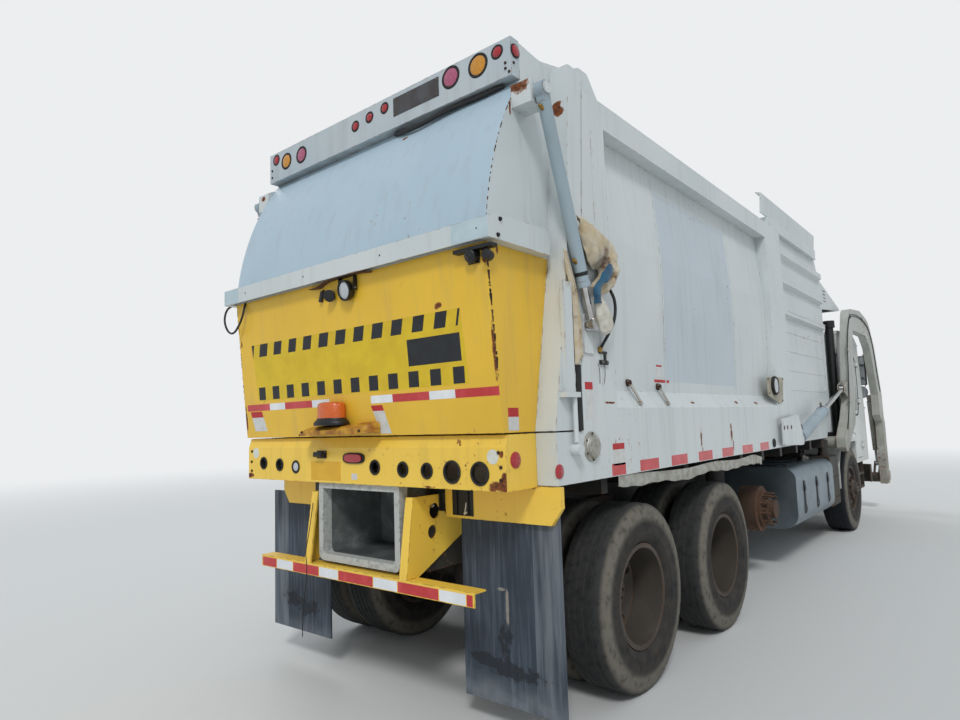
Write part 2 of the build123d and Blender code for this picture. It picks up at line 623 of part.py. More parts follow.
def loader_arms():
    """Both goosenecked arms on their torque tube."""
    py, pz = arm_pivot
    fy, fz = fork_pivot
    outline = [(py + 120, pz - 60), (py + 110, pz + 70), (py - 160, pz + 270), (py - 360, pz + 490),
               (py - 470, pz + 900),
               (py - 570, pz + 1270), (py - 820, pz + 1770), (py - 1640, pz + 1830), (py - 2270, pz + 1735),
               (py - 2640, pz + 1380), (py - 2960, pz + 620), (py - 2970, pz + 260), (fy - 120, pz + 200),
               (fy - 120, fz - 90), (fy + 120, fz - 90), (fy + 130, pz + 200), (py - 2590, pz + 310),
               (py - 2600, pz + 620), (py - 2240, pz + 1330), (py - 1970, pz + 1490), (py - 1020, pz + 1490),
               (py - 870, pz + 1300), (py - 840, pz + 780), (py - 640, pz + 230), (py - 120, pz - 60),
               (py - 60, pz - 110), (py + 60, pz - 110)]
    rounded = [(1, 60), (2, 200), (3, 120), (6, 220), (8, 420), (9, 300), (18, 120), (19, 120), (20, 120),
               (21, 120), (23, 200), (24, 40)]
    leg = side_plate(outline, arm_in, arm_in + arm_t, rounded)
    leg -= rod_x(arm_in - 5, arm_in + arm_t + 5, fy, fz, 46)
    lug = [(arm_lug[0] - 150, arm_lug[1] - 130), (arm_lug[0] + 50, arm_lug[1] - 50),
           (arm_lug[0] + 60, arm_lug[1] + 30), (arm_lug[0] + 20, arm_lug[1] + 60), (arm_lug[0] - 200, arm_lug[1] + 120)]
    for side in (-1, 1):
        middle = lift_x + side * (eye_half + 12)
        leg += side_plate(lug, middle - 6, middle + 6)
        leg += rod_x(middle, middle + side * 14, *arm_lug, 32)
    pad = block(arm_in + 10, arm_in + arm_t - 10, -front_reach, fy - 100, fz - 60, fz + 80)
    leg += pad
    leg += rod_x(fork_cyl_x + 44, arm_in + 5, *fork_cyl_top, 40)
    leg += rod_x(fork_cyl_x - 34, arm_in + 5, *fork_cyl_top, 20)
    return both(leg) + rod_x(-arm_in - 10, arm_in + 10, py, pz, torque_r)


def fork_frame():
    """Cross tube between the arm ends with two tines, parked upright."""
    fy, fz = fork_pivot
    solid = rod_x(-arm_in + 12, arm_in - 12, fy, fz, 75)
    solid += rod_x(-arm_in - arm_t + 5, arm_in + arm_t - 5, fy, fz, 45)
    tine = [(fy + 75, fz - 60), (fy + 75, fz + 300), (fy + 30, fz + fork_len), (fy - 20, fz + fork_len),
            (fy - 75, fz + 300), (fy - 75, fz - 60)]
    solid += both(side_plate(tine, fork_x - 50, fork_x + 50))
    angle = radians(fork_lever_angle)
    ky, kz = fy + fork_lever * cos(angle), fz + fork_lever * sin(angle)
    for x in (fork_cyl_x - eye_half - 10, fork_cyl_x + eye_half + 10):
        lever = [(fy + 30, fz - 60), (fy + 30, fz + 70), (ky + 10, kz + 45), (ky - 35, kz + 20), (ky - 35, kz - 30)]
        solid += both(side_plate(lever, x - 8, x + 8))
    return solid


# Cylinders

def ram_barrel(start, end, length, radius, x, eye_r, pin_r):
    """Cylinder barrel with its base eye, from start towards end."""
    half, neck = 26, 1.5 * eye_r
    solid = rod_x(x - half, x + half, *start, eye_r)
    slope = along(start, end)[1]
    web = Box(2 * half, neck + 4, 1.4 * eye_r)
    solid += Pos(x, *toward(start, end, neck / 2)) * Rot(slope, 0, 0) * web
    solid += round_link(toward(start, end, neck), toward(start, end, length), radius, x)
    return solid - rod_x(x - 30, x + 30, *start, pin_r + 0.5)


def fork_lever_pin():
    angle = radians(fork_lever_angle)
    return (fork_pivot[0] + fork_lever * cos(angle), fork_pivot[1] + fork_lever * sin(angle))


# name: base pin, rod pin, x, barrel length, bottom of its bore, rod's inner end at rest (both from the
# base pin), barrel radius, rod radius, eye radius, base pin radius
rams = {
    "lift": (lift_base, arm_lug, lift_x, 1200, 95, 1120, lift_barrel_d / 2, 27, 55, 28),
    "tailgate": (gate_cyl_top, gate_cyl_low, gate_cyl_x, 1010, 82, 90, 34, 20, 40, 20),
    "fork": (fork_cyl_top, fork_lever_pin(), fork_cyl_x, 860, 82, 140, 40, 22, 40, 20),
}


def barrels(name):
    """Left and right barrel, bored for the rod."""
    base, tip, x, length, bore_end, inner_end, barrel_r, rod_r, eye_r, pin_r = rams[name]
    solid = ram_barrel(base, tip, length, barrel_r, x, eye_r, pin_r)
    bore = round_link(toward(base, tip, bore_end), toward(base, tip, length + 10), rod_r + fit_gap, x)
    return both(solid - bore)


def rods(name):
    """Left and right rod, from inside the barrel to the eye, whose pin is seen at its outer side."""
    base, tip, x, length, bore_end, inner_end, barrel_r, rod_r, eye_r, pin_r = rams[name]
    solid = round_link(toward(base, tip, inner_end), tip, rod_r, x)
    return both(solid + rod_x(x - eye_half, x + eye_half, *tip, eye_r - 4))


def ram_wrap():
    """Cloth caught on the right tailgate cylinder, as one plain solid beside its barrel."""
    x = gate_cyl_x
    bundle = [(rear_reach - 640, 2580), (rear_reach - 723, 2570), (rear_reach - 930, 2515), (rear_reach - 985, 2400),
              (rear_reach - 920, 2290), (rear_reach - 800, 2240), (rear_reach - 700, 2262), (rear_reach - 660, 2300)]
    solid = side_plate(bundle, -x - 30, -x + 26, [(2, 60), (3, 60), (4, 60)])
    start, end = gate_cyl_top, gate_cyl_low
    behind = round_link(start, end, rams["tailgate"][6] + fit_gap, -x)
    length, slope = along(start, end)
    rest = Pos(-x, *toward(start, end, length / 2)) * Rot(slope, 0, 0) * Pos(0, 0, 100) * Box(200, 2 * length, 200)
    return solid - behind - rest


def gate_cloth():
    """Cloth that hangs behind the right cylinder on the tailgate's frame, as one plain solid."""
    sheet = [(rear_reach - 576, 2352), (rear_reach - 580, 2352), (rear_reach - 606, 2243), (rear_reach - 622, 2200),
             (rear_reach - 660, 2140), (rear_reach - 670, 2043), (rear_reach - 672, 1900), (rear_reach - 640, 1835),
             (rear_reach - 590, 1850), (rear_reach - 576, 1972)]
    return side_plate(sheet, -body_half - 26, -body_half - fit_gap, [(6, 15), (7, 15), (8, 15)])


# Cab

def cab_outline(inset):
    """Side outline of the cab; the low front part lies ahead of the wheel."""
    i = inset
    return [(cab_rear_y - i, cab_floor + i), (cab_rear_y - i, cab_roof - 60 - i), (cab_rear_y - 120 - i, cab_roof - i),
            (cab_front_y + 420 + i, cab_roof - i), (cab_front_y + 200 + i, cab_roof - 90 - i),
            (cab_front_y + i, screen_low - 40), (cab_front_y + i, cab_sill + i), (step_y - i, cab_sill + i),
            (step_y - i, cab_floor + i)]


def door_outline(gap):
    return [(door_rear_y - gap, cab_floor + 130 + gap), (door_rear_y - gap, door_top - 120 - gap),
            (door_rear_y - 90 - gap, door_top - gap), (door_front_y + gap, door_top - gap),
            (door_front_y + gap, cab_sill + 60 + gap), (step_y - 60 - 1.5 * gap, cab_sill + 60 + gap),
            (step_y - 60 - 1.5 * gap, cab_floor + 60 + gap)]


def hinge_place():
    """Centre of the left door's hinge pins, ahead of the door's front edge and outside the skin."""
    return cab_half + knuckle_r + 8, door_front_y - 4


def door_window(inset):
    return [(door_rear_y - 90 - inset, screen_low + 80 + inset), (door_rear_y - 90 - inset, door_top - 160 - inset),
            (door_rear_y - 140 - inset, door_top - 90 - inset), (door_front_y + 80 + inset, door_top - 90 - inset),
            (door_front_y + 80 + inset, screen_low + inset), (door_rear_y - 300, screen_low + inset)]


def screen_box(grow, thickness):
    """Space of the windscreen in the raked front, as a slab along the slope."""
    low = (cab_front_y, screen_low + 40)
    top = (cab_front_y + 200, cab_roof - 130)
    length, slope = along(low, top)
    middle = ((low[0] + top[0]) / 2, (low[1] + top[1]) / 2)
    width = 2 * (cab_half - 110) + 2 * grow
    slab = Box(width, thickness, length - 20 + 2 * grow)
    return Pos(0, *middle) * Rot(slope - 90, 0, 0) * slab


def cab_shell():
    """Hollow cab: floor, back wall, roof, pillars and front, with its openings cut."""
    solid = side_plate(cab_outline(0), -cab_half, cab_half, [(2, 60), (3, 60)])
    solid -= side_plate(cab_outline(cab_wall), -cab_half + cab_wall, cab_half - cab_wall)
    solid -= side_plate(door_outline(0), -cab_half - 5, cab_half + 5)
    solid -= screen_box(0, 260)
    solid -= block(-600, 600, cab_rear_y - cab_wall - 5, cab_rear_y + 5, *rear_window_z)
    tunnel = block(-tunnel_half - 30, tunnel_half + 30, cab_front_y, cab_rear_y, cab_sill, tunnel_top)
    tunnel &= side_plate(cab_outline(0), -cab_half, cab_half)
    hollow = block(-tunnel_half, tunnel_half, cab_front_y - 5, cab_rear_y + 5, cab_sill - 5, tunnel_top - 30)
    solid = solid + tunnel - hollow
    x, y = hinge_place()
    for z in door_hinge_z:
        ear = block(cab_half - 4, x + knuckle_r, y - 36, y + knuckle_r, z - 50, z + 50)
        ear -= block(cab_half, x + knuckle_r + 1, y - 16, y + knuckle_r + 1, z - 34, z + 34)
        solid += both(ear + Pos(x, y, z) * Cylinder(door_pin_r, 90))
    return solid


def cab_steps():
    """Two treads between two hangers below each door."""
    inner, outer, low = cab_half - 200, cab_half - 5, cab_sill - 370
    front, back = step_y - 440, step_y - 80
    ladder = block(inner, outer, front, front + 10, low, cab_sill) + block(inner, outer, back - 10, back, low, cab_sill)
    for z in (low, low + 190):
        ladder += block(inner, outer, front, back, z, z + 30)
    return both(ladder)


def cab_grille():
    """Slatted grille in the front panel."""
    low, high, half = cab_sill + 2, tunnel_top - 30, tunnel_half
    frame = block(-half, half, cab_front_y + 4, cab_front_y + 34, low, high)
    frame -= block(-half + 30, half - 30, cab_front_y, cab_front_y + 40, low + 30, high - 30)
    count = 8
    pitch = (high - low - 60) / count
    for index in range(count):
        z = low + 30 + (index + 0.5) * pitch
        slat = [(cab_front_y + 6, z - 12), (cab_front_y + 12, z - 16), (cab_front_y + 30, z + 8),
                (cab_front_y + 24, z + 14)]
        frame += side_plate(slat, -half + 28, half - 28)
    return frame


def cab_glass():
    """Windscreen and rear window, each seated in its opening."""
    screen = screen_box(-fit_gap, glass_t)
    half = 600 - fit_gap
    low, high = rear_window_z
    rear = block(-half, half, cab_rear_y - 30, cab_rear_y - 30 + glass_t, low + fit_gap, high - fit_gap)
    return screen + rear


def cab_door(side):
    solid = side_plate(door_outline(door_gap), cab_half - cab_wall, cab_half)
    solid -= side_plate(door_window(0), cab_half - cab_wall - 5, cab_half + 5)
    x, y = hinge_place()
    edge = door_front_y + door_gap
    for z in door_hinge_z:
        leaf = Pos(x, y, z) * Cylinder(knuckle_r, 60) + block(x - 6, x + 6, y, edge + 80, z - 30, z + 30)
        leaf += block(cab_half, x + 6, edge + 20, edge + 80, z - 30, z + 30)
        solid += leaf - Pos(x, y, z) * Cylinder(door_pin_r + fit_gap, 61)
    return solid if side > 0 else mirror(solid, Plane.YZ)


def door_glass(side):
    solid = side_plate(door_window(fit_gap), cab_half - 28, cab_half - 28 + glass_t)
    return solid if side > 0 else mirror(solid, Plane.YZ)


def cab_interior():
    """Two seats, the dash and the steering wheel."""
    back, low, inside = cab_rear_y - 310, cab_floor + 140, cab_half - cab_wall
    half = (inside - tunnel_half - 135) / 2
    seat_x = inside - 70 - half
    seat = block(-half, half, back - 440, back, low, low + 120)
    seat += block(-half, half, back - 100, back, low + 100, low + 750)
    seat += block(70 - half, half - 70, back - 400, back - 40, cab_floor + cab_wall, low + 10)
    seats = Pos(seat_x, 0, 0) * seat + Pos(-seat_x, 0, 0) * seat
    dash = block(-inside, inside, cab_front_y + cab_wall, cab_front_y + 300, tunnel_top, screen_low - 45)
    lean = Rot(-35, 0, 0)
    hub = Pos(seat_x, cab_front_y + 380, tunnel_top + 230)
    column = hub * lean * Pos(0, 0, -110) * Cylinder(25, 230)
    wheel = hub * lean * Torus(210, 16) + hub * lean * Box(410, 40, 18)
    return seats + dash + column + wheel


def front_bumper():
    """Channel bumper with swept ends, on two horns from the rails."""
    low, top = 480, 740
    end = cab_half + 20
    right = [(0, cab_front_y - 110), (end - 150, cab_front_y - 110), (end, cab_front_y - 40), (end, cab_front_y + 60),
             (end - 12, cab_front_y + 60), (end - 12, cab_front_y - 34), (end - 154, cab_front_y - 98),
             (0, cab_front_y - 98)]
    bar = right + [(-x, y) for x, y in reversed(right[1:-1])]
    solid = Pos(0, 0, low) * extrude(plate(bar), top - low)
    lamp_x, lamp_z = end - 300, (low + top) / 2
    solid -= both(block(lamp_x - 110, lamp_x + 110, cab_front_y - 111, cab_front_y - 90, lamp_z - 65, lamp_z + 65))
    solid += both(block(lamp_x - 112, lamp_x + 112, cab_front_y - 98, cab_front_y - 30, lamp_z - 67, lamp_z + 67))
    horn = block(rail_outer - 60, rail_outer - 20, cab_front_y - 100, rail_front_y, low + 20, cab_sill - 5)
    return solid + both(horn)


def front_fenders():
    """Flat-topped arches over the steered wheels."""
    r = front_tyre_d / 2
    y, z = front_axle_y, front_tyre_d / 2
    arch = [(y + 655, z + 60), (y + 655, z + 330), (y + 480, cab_floor), (y - 700, cab_floor),
            (y - 700, cab_floor - 16), (y + 470, cab_floor - 16), (y + 640, z + 320), (y + 640, z + 60)]
    return both(side_plate(arch, cab_half - 370, cab_half + 40))


def fuel_tank():
    """Rounded tank on the right side."""
    return tank(-1, -5100, -3450)


def hydraulic_tank():
    """Oil tank on the left side."""
    return tank(1, -4900, -3600)


def tank(side, y0, y1):
    outer = body_half - 30
    outline = [(rail_outer + 30, 400), (outer, 400), (outer, 1000), (rail_outer + 30, 1000)]
    solid = section(outline, y0, y1, [(1, 150), (2, 110), (0, 60), (3, 60)])
    for y in (y0 + 250, y1 - 250):
        solid += block(rail_outer, rail_outer + 40, y - 40, y + 40, 500, 980)
    return solid if side > 0 else mirror(solid, Plane.YZ)


def step_boxes():
    """Battery boxes between the tanks and the steered wheels, and an oil filter on the right one."""
    rear, top, filter_r = -5140, 1020, 56
    outer = body_half - 60
    outline = [(rail_outer, 420), (outer, 420), (outer, top), (rail_outer, top)]
    boxes = both(section(outline, rear - 420, rear, [(1, 30), (2, 30)]))
    for z in (520, 760):
        boxes -= both(block(outer - 10, outer + 1, rear - 400, rear - 20, z, z + 8))
    x, y = 105 - outer, rear - 190
    boxes += Pos(x, y, top + 20) * Cylinder(filter_r + 8, 40)
    return boxes + Pos(x, y, top + 112) * Cylinder(filter_r, 160)


def intake_stack():
    """Air intake pipe with its rain cap, up the cab's back corner."""
    x, y = 50 - cab_half, cab_rear_y + 140
    low, high = cab_floor + 70, cab_roof + 60
    solid = Pos(x, y, (low + high) / 2) * Cylinder(52, high - low) + Pos(x, y, high) * Cylinder(72, 90)
    solid += rod_x(x, -120, y, low, 50) + Pos(-120, y, (low + gearbox_top) / 2) * Cylinder(50, low - gearbox_top)
    for z in (low + 470, high - 420):
        solid += block(x - 40, x + 40, cab_rear_y, y, z, z + 30)
    return solid


def engine_block():
    """Engine as one plain block in the cab's tunnel."""
    return block(-330, 330, cab_front_y + 330, gearbox_front_y, 700, tunnel_top - 50)


def driveline():
    """Gearbox and propeller shaft to the first driven axle."""
    rear = -5500
    gearbox = block(-250, 250, gearbox_front_y, rear, 620, gearbox_top)
    web = rail_outer - rail_web
    carrier = block(-web, web, rear - 500, rear - 420, rail_top - 200, rail_top - 120)
    start, end = (rear, 800), (-tandem_spacing - 210.6, tyre_d / 2)
    return gearbox + carrier + round_link(start, end, 55, 0)


def mirrors():
    """Mirror heads ahead of the cab's front corners, each with a round wide-angle one below."""
    top = door_top
    x0, x1 = cab_half - 45, cab_half - 25
    head = block(cab_half - 120, cab_half + 45, cab_front_y - 170, cab_front_y - 110, top - 450, top)
    arm = block(x0, x1, cab_front_y - 120, cab_front_y + 190, top - 150, top - 125)
    low = block(x0, x1, cab_front_y - 120, cab_front_y + 120, top - 350, top - 325)
    z, round_r = top - 450, 98
    x = cab_half + 45 - round_r
    wide = Pos(x, cab_front_y - 138, z - round_r - 12) * Rot(90, 0, 0) * Cylinder(round_r, 36)
    wide += block(x - 12, x + 12, cab_front_y - 152, cab_front_y - 128, z - 20, z + 10)
    solid = head + wide + arm + low - side_plate(cab_outline(0), 0, cab_half)
    return both(solid)


# Rear end below the tailgate

def lamp_row():
    """(x, z, radius) of each round lamp in the light panel, from left to right."""
    return [(917, 1333, 34), (733, 1325, 34), (558, 1315, 34), (-185, 1325, 36), (-408, 1318, 36), (-586, 1314, 36),
            (-760, 1312, 52), (-940, 1308, 52)]


def panel_outline(inset):
    """Side outline of the light panel, whose top strip leans forward."""
    back, top = panel_y - inset, panel_top - inset
    front = gate_frame_y - (1 if inset else 0)
    return [(front, panel_low + inset), (back, panel_low + inset), (back, top - panel_fold), (back - 20, top),
            (front, top)]


def light_panel():
    """Folded box for the rear lamps, open at the front where it seats on the body's sill."""
    sheet = 8
    y0 = gate_frame_y
    solid = side_plate(panel_outline(0), -panel_half, panel_half)
    solid -= side_plate(panel_outline(sheet), -panel_half + sheet, panel_half - sheet)
    for x, z, radius in lamp_row():
        solid -= Pos(x, panel_y, z) * Rot(90, 0, 0) * Cylinder(radius, 40)
    for side, inner, outer in ((-1, 486, body_half + 20), (1, flap_in + 112, 1050)):
        hanger = [(inner, panel_low + 4), (outer, panel_low + 4), (outer, 1130), (outer - 60, hanger_low),
                  (inner, hanger_low)]
        solid += section([(side * x, z) for x, z in hanger], flap_y + 12, gate_frame_y + 8)
    window = -flap_in - 38
    return solid - block(window - 74, window + 74, flap_y + 11, gate_frame_y - 1, hanger_low + 14, panel_low - 12)


def mud_flaps():
    """Rubber flaps behind the rear wheels."""
    right = block(-flap_in - flap_w, -flap_in, flap_y, flap_y + 11.7, flap_low, 1120)
    left = block(flap_in, flap_in + flap_w, flap_y, flap_y + 11.7, flap_low + 70, 1120)
    return right + left


def catch_bin():
    """Moulded box between the bar's legs, open at the back, with a thick lip round its mouth."""
    x, y0, y1, z0, z1, wall, rim = 330, rear_reach - 650, rear_reach - 170, 790, panel_low, 18, 22
    outer = [(-x, z0), (x, z0), (x, z1), (-x, z1)]
    tray = section(outer, y0, y1, [(0, 40), (1, 40)])
    lip = [(-x - rim, z0 - rim), (x + rim, z0 - rim), (x + rim, z1), (-x - rim, z1)]
    tray += section(lip, y1 - 62, y1, [(0, 45), (1, 45), (2, 18), (3, 18)])
    inner = [(-x + wall, z0 + wall), (x - wall, z0 + wall), (x - wall, z1 - 2 * wall), (-x + wall, z1 - 2 * wall)]
    return tray - section(inner, y0 + wall, y1 + 1, [(0, 30), (1, 30)])


def underride_bar():
    """Angle bar on two slotted legs from the rail ends."""
    angle = [(under_bar_y, bar_z + 30), (under_bar_y, bar_z - 40), (under_bar_y - 8, bar_z - 40),
             (under_bar_y - 8, bar_z + 22), (under_bar_y - 90, bar_z + 22), (under_bar_y - 90, bar_z + 30)]
    solid = side_plate(angle, -bar_half, bar_half)
    leg = [(rail_rear_y - 330, panel_low - 60), (under_bar_y - 60, panel_low - 60), (under_bar_y, bar_z + 30),
           (under_bar_y - 90, bar_z + 30), (rail_rear_y - 330, 960)]
    side = side_plate(leg, rail_outer, rail_outer + 12)
    for back, z, radius in ((160, 1080, 42), (40, 1080, 42), (20, 970, 36)):
        side -= rod_x(rail_outer - 1, rail_outer + 13, rail_rear_y - back, z, radius)
    flange = [(under_bar_y - 60, panel_low - 60), (under_bar_y, bar_z + 30), (under_bar_y - 11, bar_z + 30),
              (under_bar_y - 71, panel_low - 60)]
    return solid + both(side + side_plate(flange, rail_outer - 45, rail_outer + 12))


def build():
    nodes = {
        "frame_rails": frame_rails(),
        "front_bumper": front_bumper(),
        "cab_shell": cab_shell(),
        "cab_glass": cab_glass(),
        "cab_interior": cab_interior(),
        "cab_grille": cab_grille(),
        "cab_steps": cab_steps(),
        "front_fenders": front_fenders(),
        "step_boxes": step_boxes(),
        "fuel_tank": fuel_tank(),
        "hydraulic_tank": hydraulic_tank(),
        "intake_stack": intake_stack(),
        "engine_block": engine_block(),
        "driveline": driveline(),
        "front_axle": front_axle(),
        "rear_axles": rear_axles(),
        "pusher_axle": pusher_axle(),
        "body_shell": body_shell(),
        "hopper_shell": hopper_shell(),
        "hopper_deflectors": hopper_deflectors(),
        "cab_guard": cab_guard(),
        "packer_panel": packer_panel(),
        "mirrors": mirrors(),
        "light_panel": light_panel(),
        "mud_flaps": mud_flaps(),
        "catch_bin": catch_bin(),
        "underride_bar": underride_bar(),
        "tailgate_shell": tailgate_shell(),
        "tailgate_guard": tailgate_guard(),
        "tailgate_light_bar": tailgate_light_bar(),
        "loader_arms": loader_arms(),
        "fork_frame": fork_frame(),
        "ram_wrap": ram_wrap(),
        "gate_cloth": gate_cloth(),
    }
    for name in rams:
        nodes[name + "_barrels"] = barrels(name)
        nodes[name + "_rods"] = rods(name)
    sides = {"left": 1, "right": -1}
    for word, side in sides.items():
        nodes["door_" + word] = cab_door(side)
        nodes["door_glass_" + word] = door_glass(side)
        nodes["knuckle_" + word] = knuckle(side)
        nodes["front_tyre_" + word] = front_tyre(side)
        nodes["front_rim_" + word] = front_rim(side)
        nodes["pusher_hub_" + word] = pusher_hub(side)
        for place, y in (("rear", 0), ("mid", -tandem_spacing)):
            nodes[f"{place}_tyres_{word}"] = dual_tyres(side, y)
            nodes[f"{place}_rims_{word}"] = dual_rims(side, y)
    return nodes


os.makedirs("parts", exist_ok=True)
for name, solid in build().items():
    export_step(Pos(0, shift_y, 0) * solid, f"parts/{name}.step")
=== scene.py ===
import bmesh
import bpy
import random
from math import copysign, cos, radians, sin, tau
from mathutils import Matrix, Vector, noise
from mathutils.bvhtree import BVHTree


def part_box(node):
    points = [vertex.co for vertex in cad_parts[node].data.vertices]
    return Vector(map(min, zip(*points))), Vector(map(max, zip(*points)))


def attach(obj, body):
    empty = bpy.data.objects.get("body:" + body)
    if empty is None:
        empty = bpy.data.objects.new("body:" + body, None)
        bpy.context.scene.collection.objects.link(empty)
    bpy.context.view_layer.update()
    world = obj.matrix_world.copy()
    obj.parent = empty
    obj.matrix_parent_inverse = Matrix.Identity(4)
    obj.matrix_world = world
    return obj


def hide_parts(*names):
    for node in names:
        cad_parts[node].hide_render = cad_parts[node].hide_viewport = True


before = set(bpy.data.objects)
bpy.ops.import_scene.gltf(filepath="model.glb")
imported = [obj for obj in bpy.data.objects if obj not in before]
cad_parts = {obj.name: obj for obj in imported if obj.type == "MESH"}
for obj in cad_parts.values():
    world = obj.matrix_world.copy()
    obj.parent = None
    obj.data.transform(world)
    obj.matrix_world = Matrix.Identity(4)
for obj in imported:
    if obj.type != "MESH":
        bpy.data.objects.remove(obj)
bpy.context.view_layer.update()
draws = random.Random(7)  # one seeded source for every random draw

# Places are given in millimetres from the ground below the middle of the rearmost axle:
# x to the truck's left, y to the rear, z up.
rimLow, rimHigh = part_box("rear_rims_left")
rearAxleY = (rimLow.y + rimHigh.y) / 2


def at(x, y, z):
    return Vector((x / 1000, rearAxleY + y / 1000, z / 1000))


def fromRear(point):  # the same, back from Blender's metres
    return Vector((point.x * 1000, (point.y - rearAxleY) * 1000, point.z * 1000))


sides = ((-1, "right"), (1, "left"))


def middleOf(node):
    low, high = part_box(node)
    return fromRear((low + high) / 2)


def linear(code):  # sRGB hex to the linear colour that a shader takes
    parts = [int(code[i:i + 2], 16) / 255 for i in (0, 2, 4)]
    return tuple(p / 12.92 if p < 0.04045 else ((p + 0.055) / 1.055) ** 2.4 for p in parts) + (1,)


camera = {
    "fromAxle": (-2958, 3558, 1550),  # eye of the photo's camera
    "heading": 39.52,                 # degrees from straight ahead towards the left
    "pitch": 5.56,
    "roll": -1.84,
    "lens": 24.31,
}


def makeCamera(c):
    heading, pitch, roll = radians(c["heading"]), radians(c["pitch"]), radians(c["roll"])
    ahead = Vector((sin(heading) * cos(pitch), -cos(heading) * cos(pitch), sin(pitch)))
    right = ahead.cross(Vector((0, 0, 1))).normalized()
    above = right.cross(ahead)
    rightR = right * cos(roll) + above * sin(roll)
    aboveR = above * cos(roll) - right * sin(roll)
    data = bpy.data.cameras.new("photoCamera")
    data.lens = c["lens"]
    data.sensor_width = 36
    data.clip_end = 300
    obj = bpy.data.objects.new("photoCamera", data)
    turn = Matrix((rightR, aboveR, -ahead)).transposed().to_4x4()
    obj.matrix_world = Matrix.Translation(at(*c["fromAxle"])) @ turn
    bpy.context.scene.collection.objects.link(obj)
    bpy.context.scene.camera = obj


makeCamera(camera)
print("stage 1: frame and camera")


# Materials

# Adds a node; an input is a value, a socket, or a node that stands for its first output
def addNode(tree, kind, inputs=None, **settings):
    node = tree.nodes.new("ShaderNode" + kind)
    for name, value in settings.items():
        setattr(node, name, value)
    for name, value in (inputs or {}).items():
        if isinstance(value, bpy.types.Node):
            value = value.outputs[0]
        if isinstance(value, bpy.types.NodeSocket):
            tree.links.new(value, node.inputs[name])
        else:
            node.inputs[name].default_value = value
    return node


materials = {}


# An empty material, kept under its name, with its tree and the place on the object
def newMaterial(name):
    material = bpy.data.materials.new(name)
    material.use_nodes = True
    tree = material.node_tree
    tree.nodes.clear()
    materials[name] = material
    return tree, addNode(tree, "TexCoord").outputs["Object"]


def finishMaterial(tree, inputs):
    addNode(tree, "OutputMaterial", {"Surface": addNode(tree, "BsdfPrincipled", inputs)})


# Soft-edged patches of noise: size in millimetres, and how much of the surface they cover from 0 to 1
def patches(tree, where, size, cover, soft=0.08, stretch=(1, 1, 1), detail=4, rough=0.55, shift=0):
    spread = addNode(tree, "Mapping", {"Vector": where, "Scale": stretch,
                                       "Location": (shift, shift * 0.7, shift * 1.3)})
    field = addNode(tree, "TexNoise", {"Vector": spread, "Scale": 1000 / size, "Detail": detail, "Roughness": rough})
    edge = 0.72 - 0.44 * cover
    return addNode(tree, "MapRange", {0: field, 1: edge - soft, 2: edge + soft}, interpolation_type="SMOOTHSTEP")


# The share of the surface that all of the masks cover
def overlap(tree, *masks):
    share = masks[0]
    for mask in masks[1:]:
        share = addNode(tree, "Math", {0: share, 1: mask}, operation="MULTIPLY")
    return share


# Coats laid over a colour one after another, each given by the share that it covers and its own colour
def coated(tree, colour, *coats):
    for share, over in coats:
        colour = addNode(tree, "Mix", {0: share, 6: colour, 7: over}, data_type="RGBA").outputs[2]
    return colour


# Share of the surface between two values of one coordinate, in metres, with soft ends
def band(tree, value, low, high, soft):
    rise = addNode(tree, "MapRange", {0: value, 1: low - soft, 2: low + soft}, interpolation_type="SMOOTHSTEP")
    fall = addNode(tree, "MapRange", {0: value, 1: high - soft, 2: high + soft, 3: 1, 4: 0},
                   interpolation_type="SMOOTHSTEP")
    return overlap(tree, rise, fall)


paintLooks = {
    # Truck enamel sprayed over steel: a gloss that chalks with age, road film low down, rust at chips and edges
    # one value of each look sets how strong both the road film and the painted shade in corners are
    "bodyEnamel": {"paint": "d6dbdb", "faded": "cbd2d2", "film": "858479", "filmTop": 1.5, "grimeAndShade": 0.22,
                   "rust": 0.16, "wear": 0.3, "gloss": 0.36, "streaks": 0.25},
    "barEnamel": {"paint": "c2cacd", "faded": "aebac2", "film": "6d6a60", "filmTop": 1.5, "grimeAndShade": 0.5,
                  "rust": 0.2, "wear": 0.35, "gloss": 0.4, "streaks": 0.3},
    "cabEnamel": {"paint": "dcdfdd", "faded": "cdd0cc", "film": "8a8376", "filmTop": 1.5, "grimeAndShade": 0.35,
                  "rust": 0.1, "wear": 0.25, "gloss": 0.28, "streaks": 0.2},
    "armEnamel": {"paint": "c5c8c3", "faded": "aeb0a8", "film": "6e6455", "filmTop": 2.6, "grimeAndShade": 0.7,
                  "rust": 0.55, "wear": 0.75, "gloss": 0.42, "streaks": 0.4},
    "ramEnamel": {"paint": "a6b6bf", "faded": "94a5ae", "film": "6e6a60", "filmTop": 2.2, "grimeAndShade": 0.4,
                  "rust": 0.35, "wear": 0.4, "gloss": 0.34, "streaks": 0.3},
    "rackEnamel": {"paint": "fbd252", "faded": "f1c64a", "film": "8d7742", "filmTop": 1.0, "grimeAndShade": 0.25,
                   "rust": 0.25, "wear": 0.4, "gloss": 0.34, "streaks": 0.2},
    "chassisEnamel": {"paint": "1c1c1e", "faded": "2b2927", "film": "57503f", "filmTop": 1.2, "grimeAndShade": 0.6,
                      "rust": 0.4, "wear": 0.5, "gloss": 0.55, "streaks": 0.3},
    "wheelEnamel": {"paint": "57504a", "faded": "453f38", "film": "37312b", "filmTop": 1.2, "grimeAndShade": 0.6,
                    "rust": 0.3, "wear": 0.5, "gloss": 0.62, "streaks": 0.3},
    "hubCasting": {"paint": "4c3a2e", "faded": "5b4030", "film": "3a2f26", "filmTop": 1.2, "grimeAndShade": 0.6,
                   "rust": 0.9, "wear": 0.9, "gloss": 0.8, "streaks": 0.2},
}


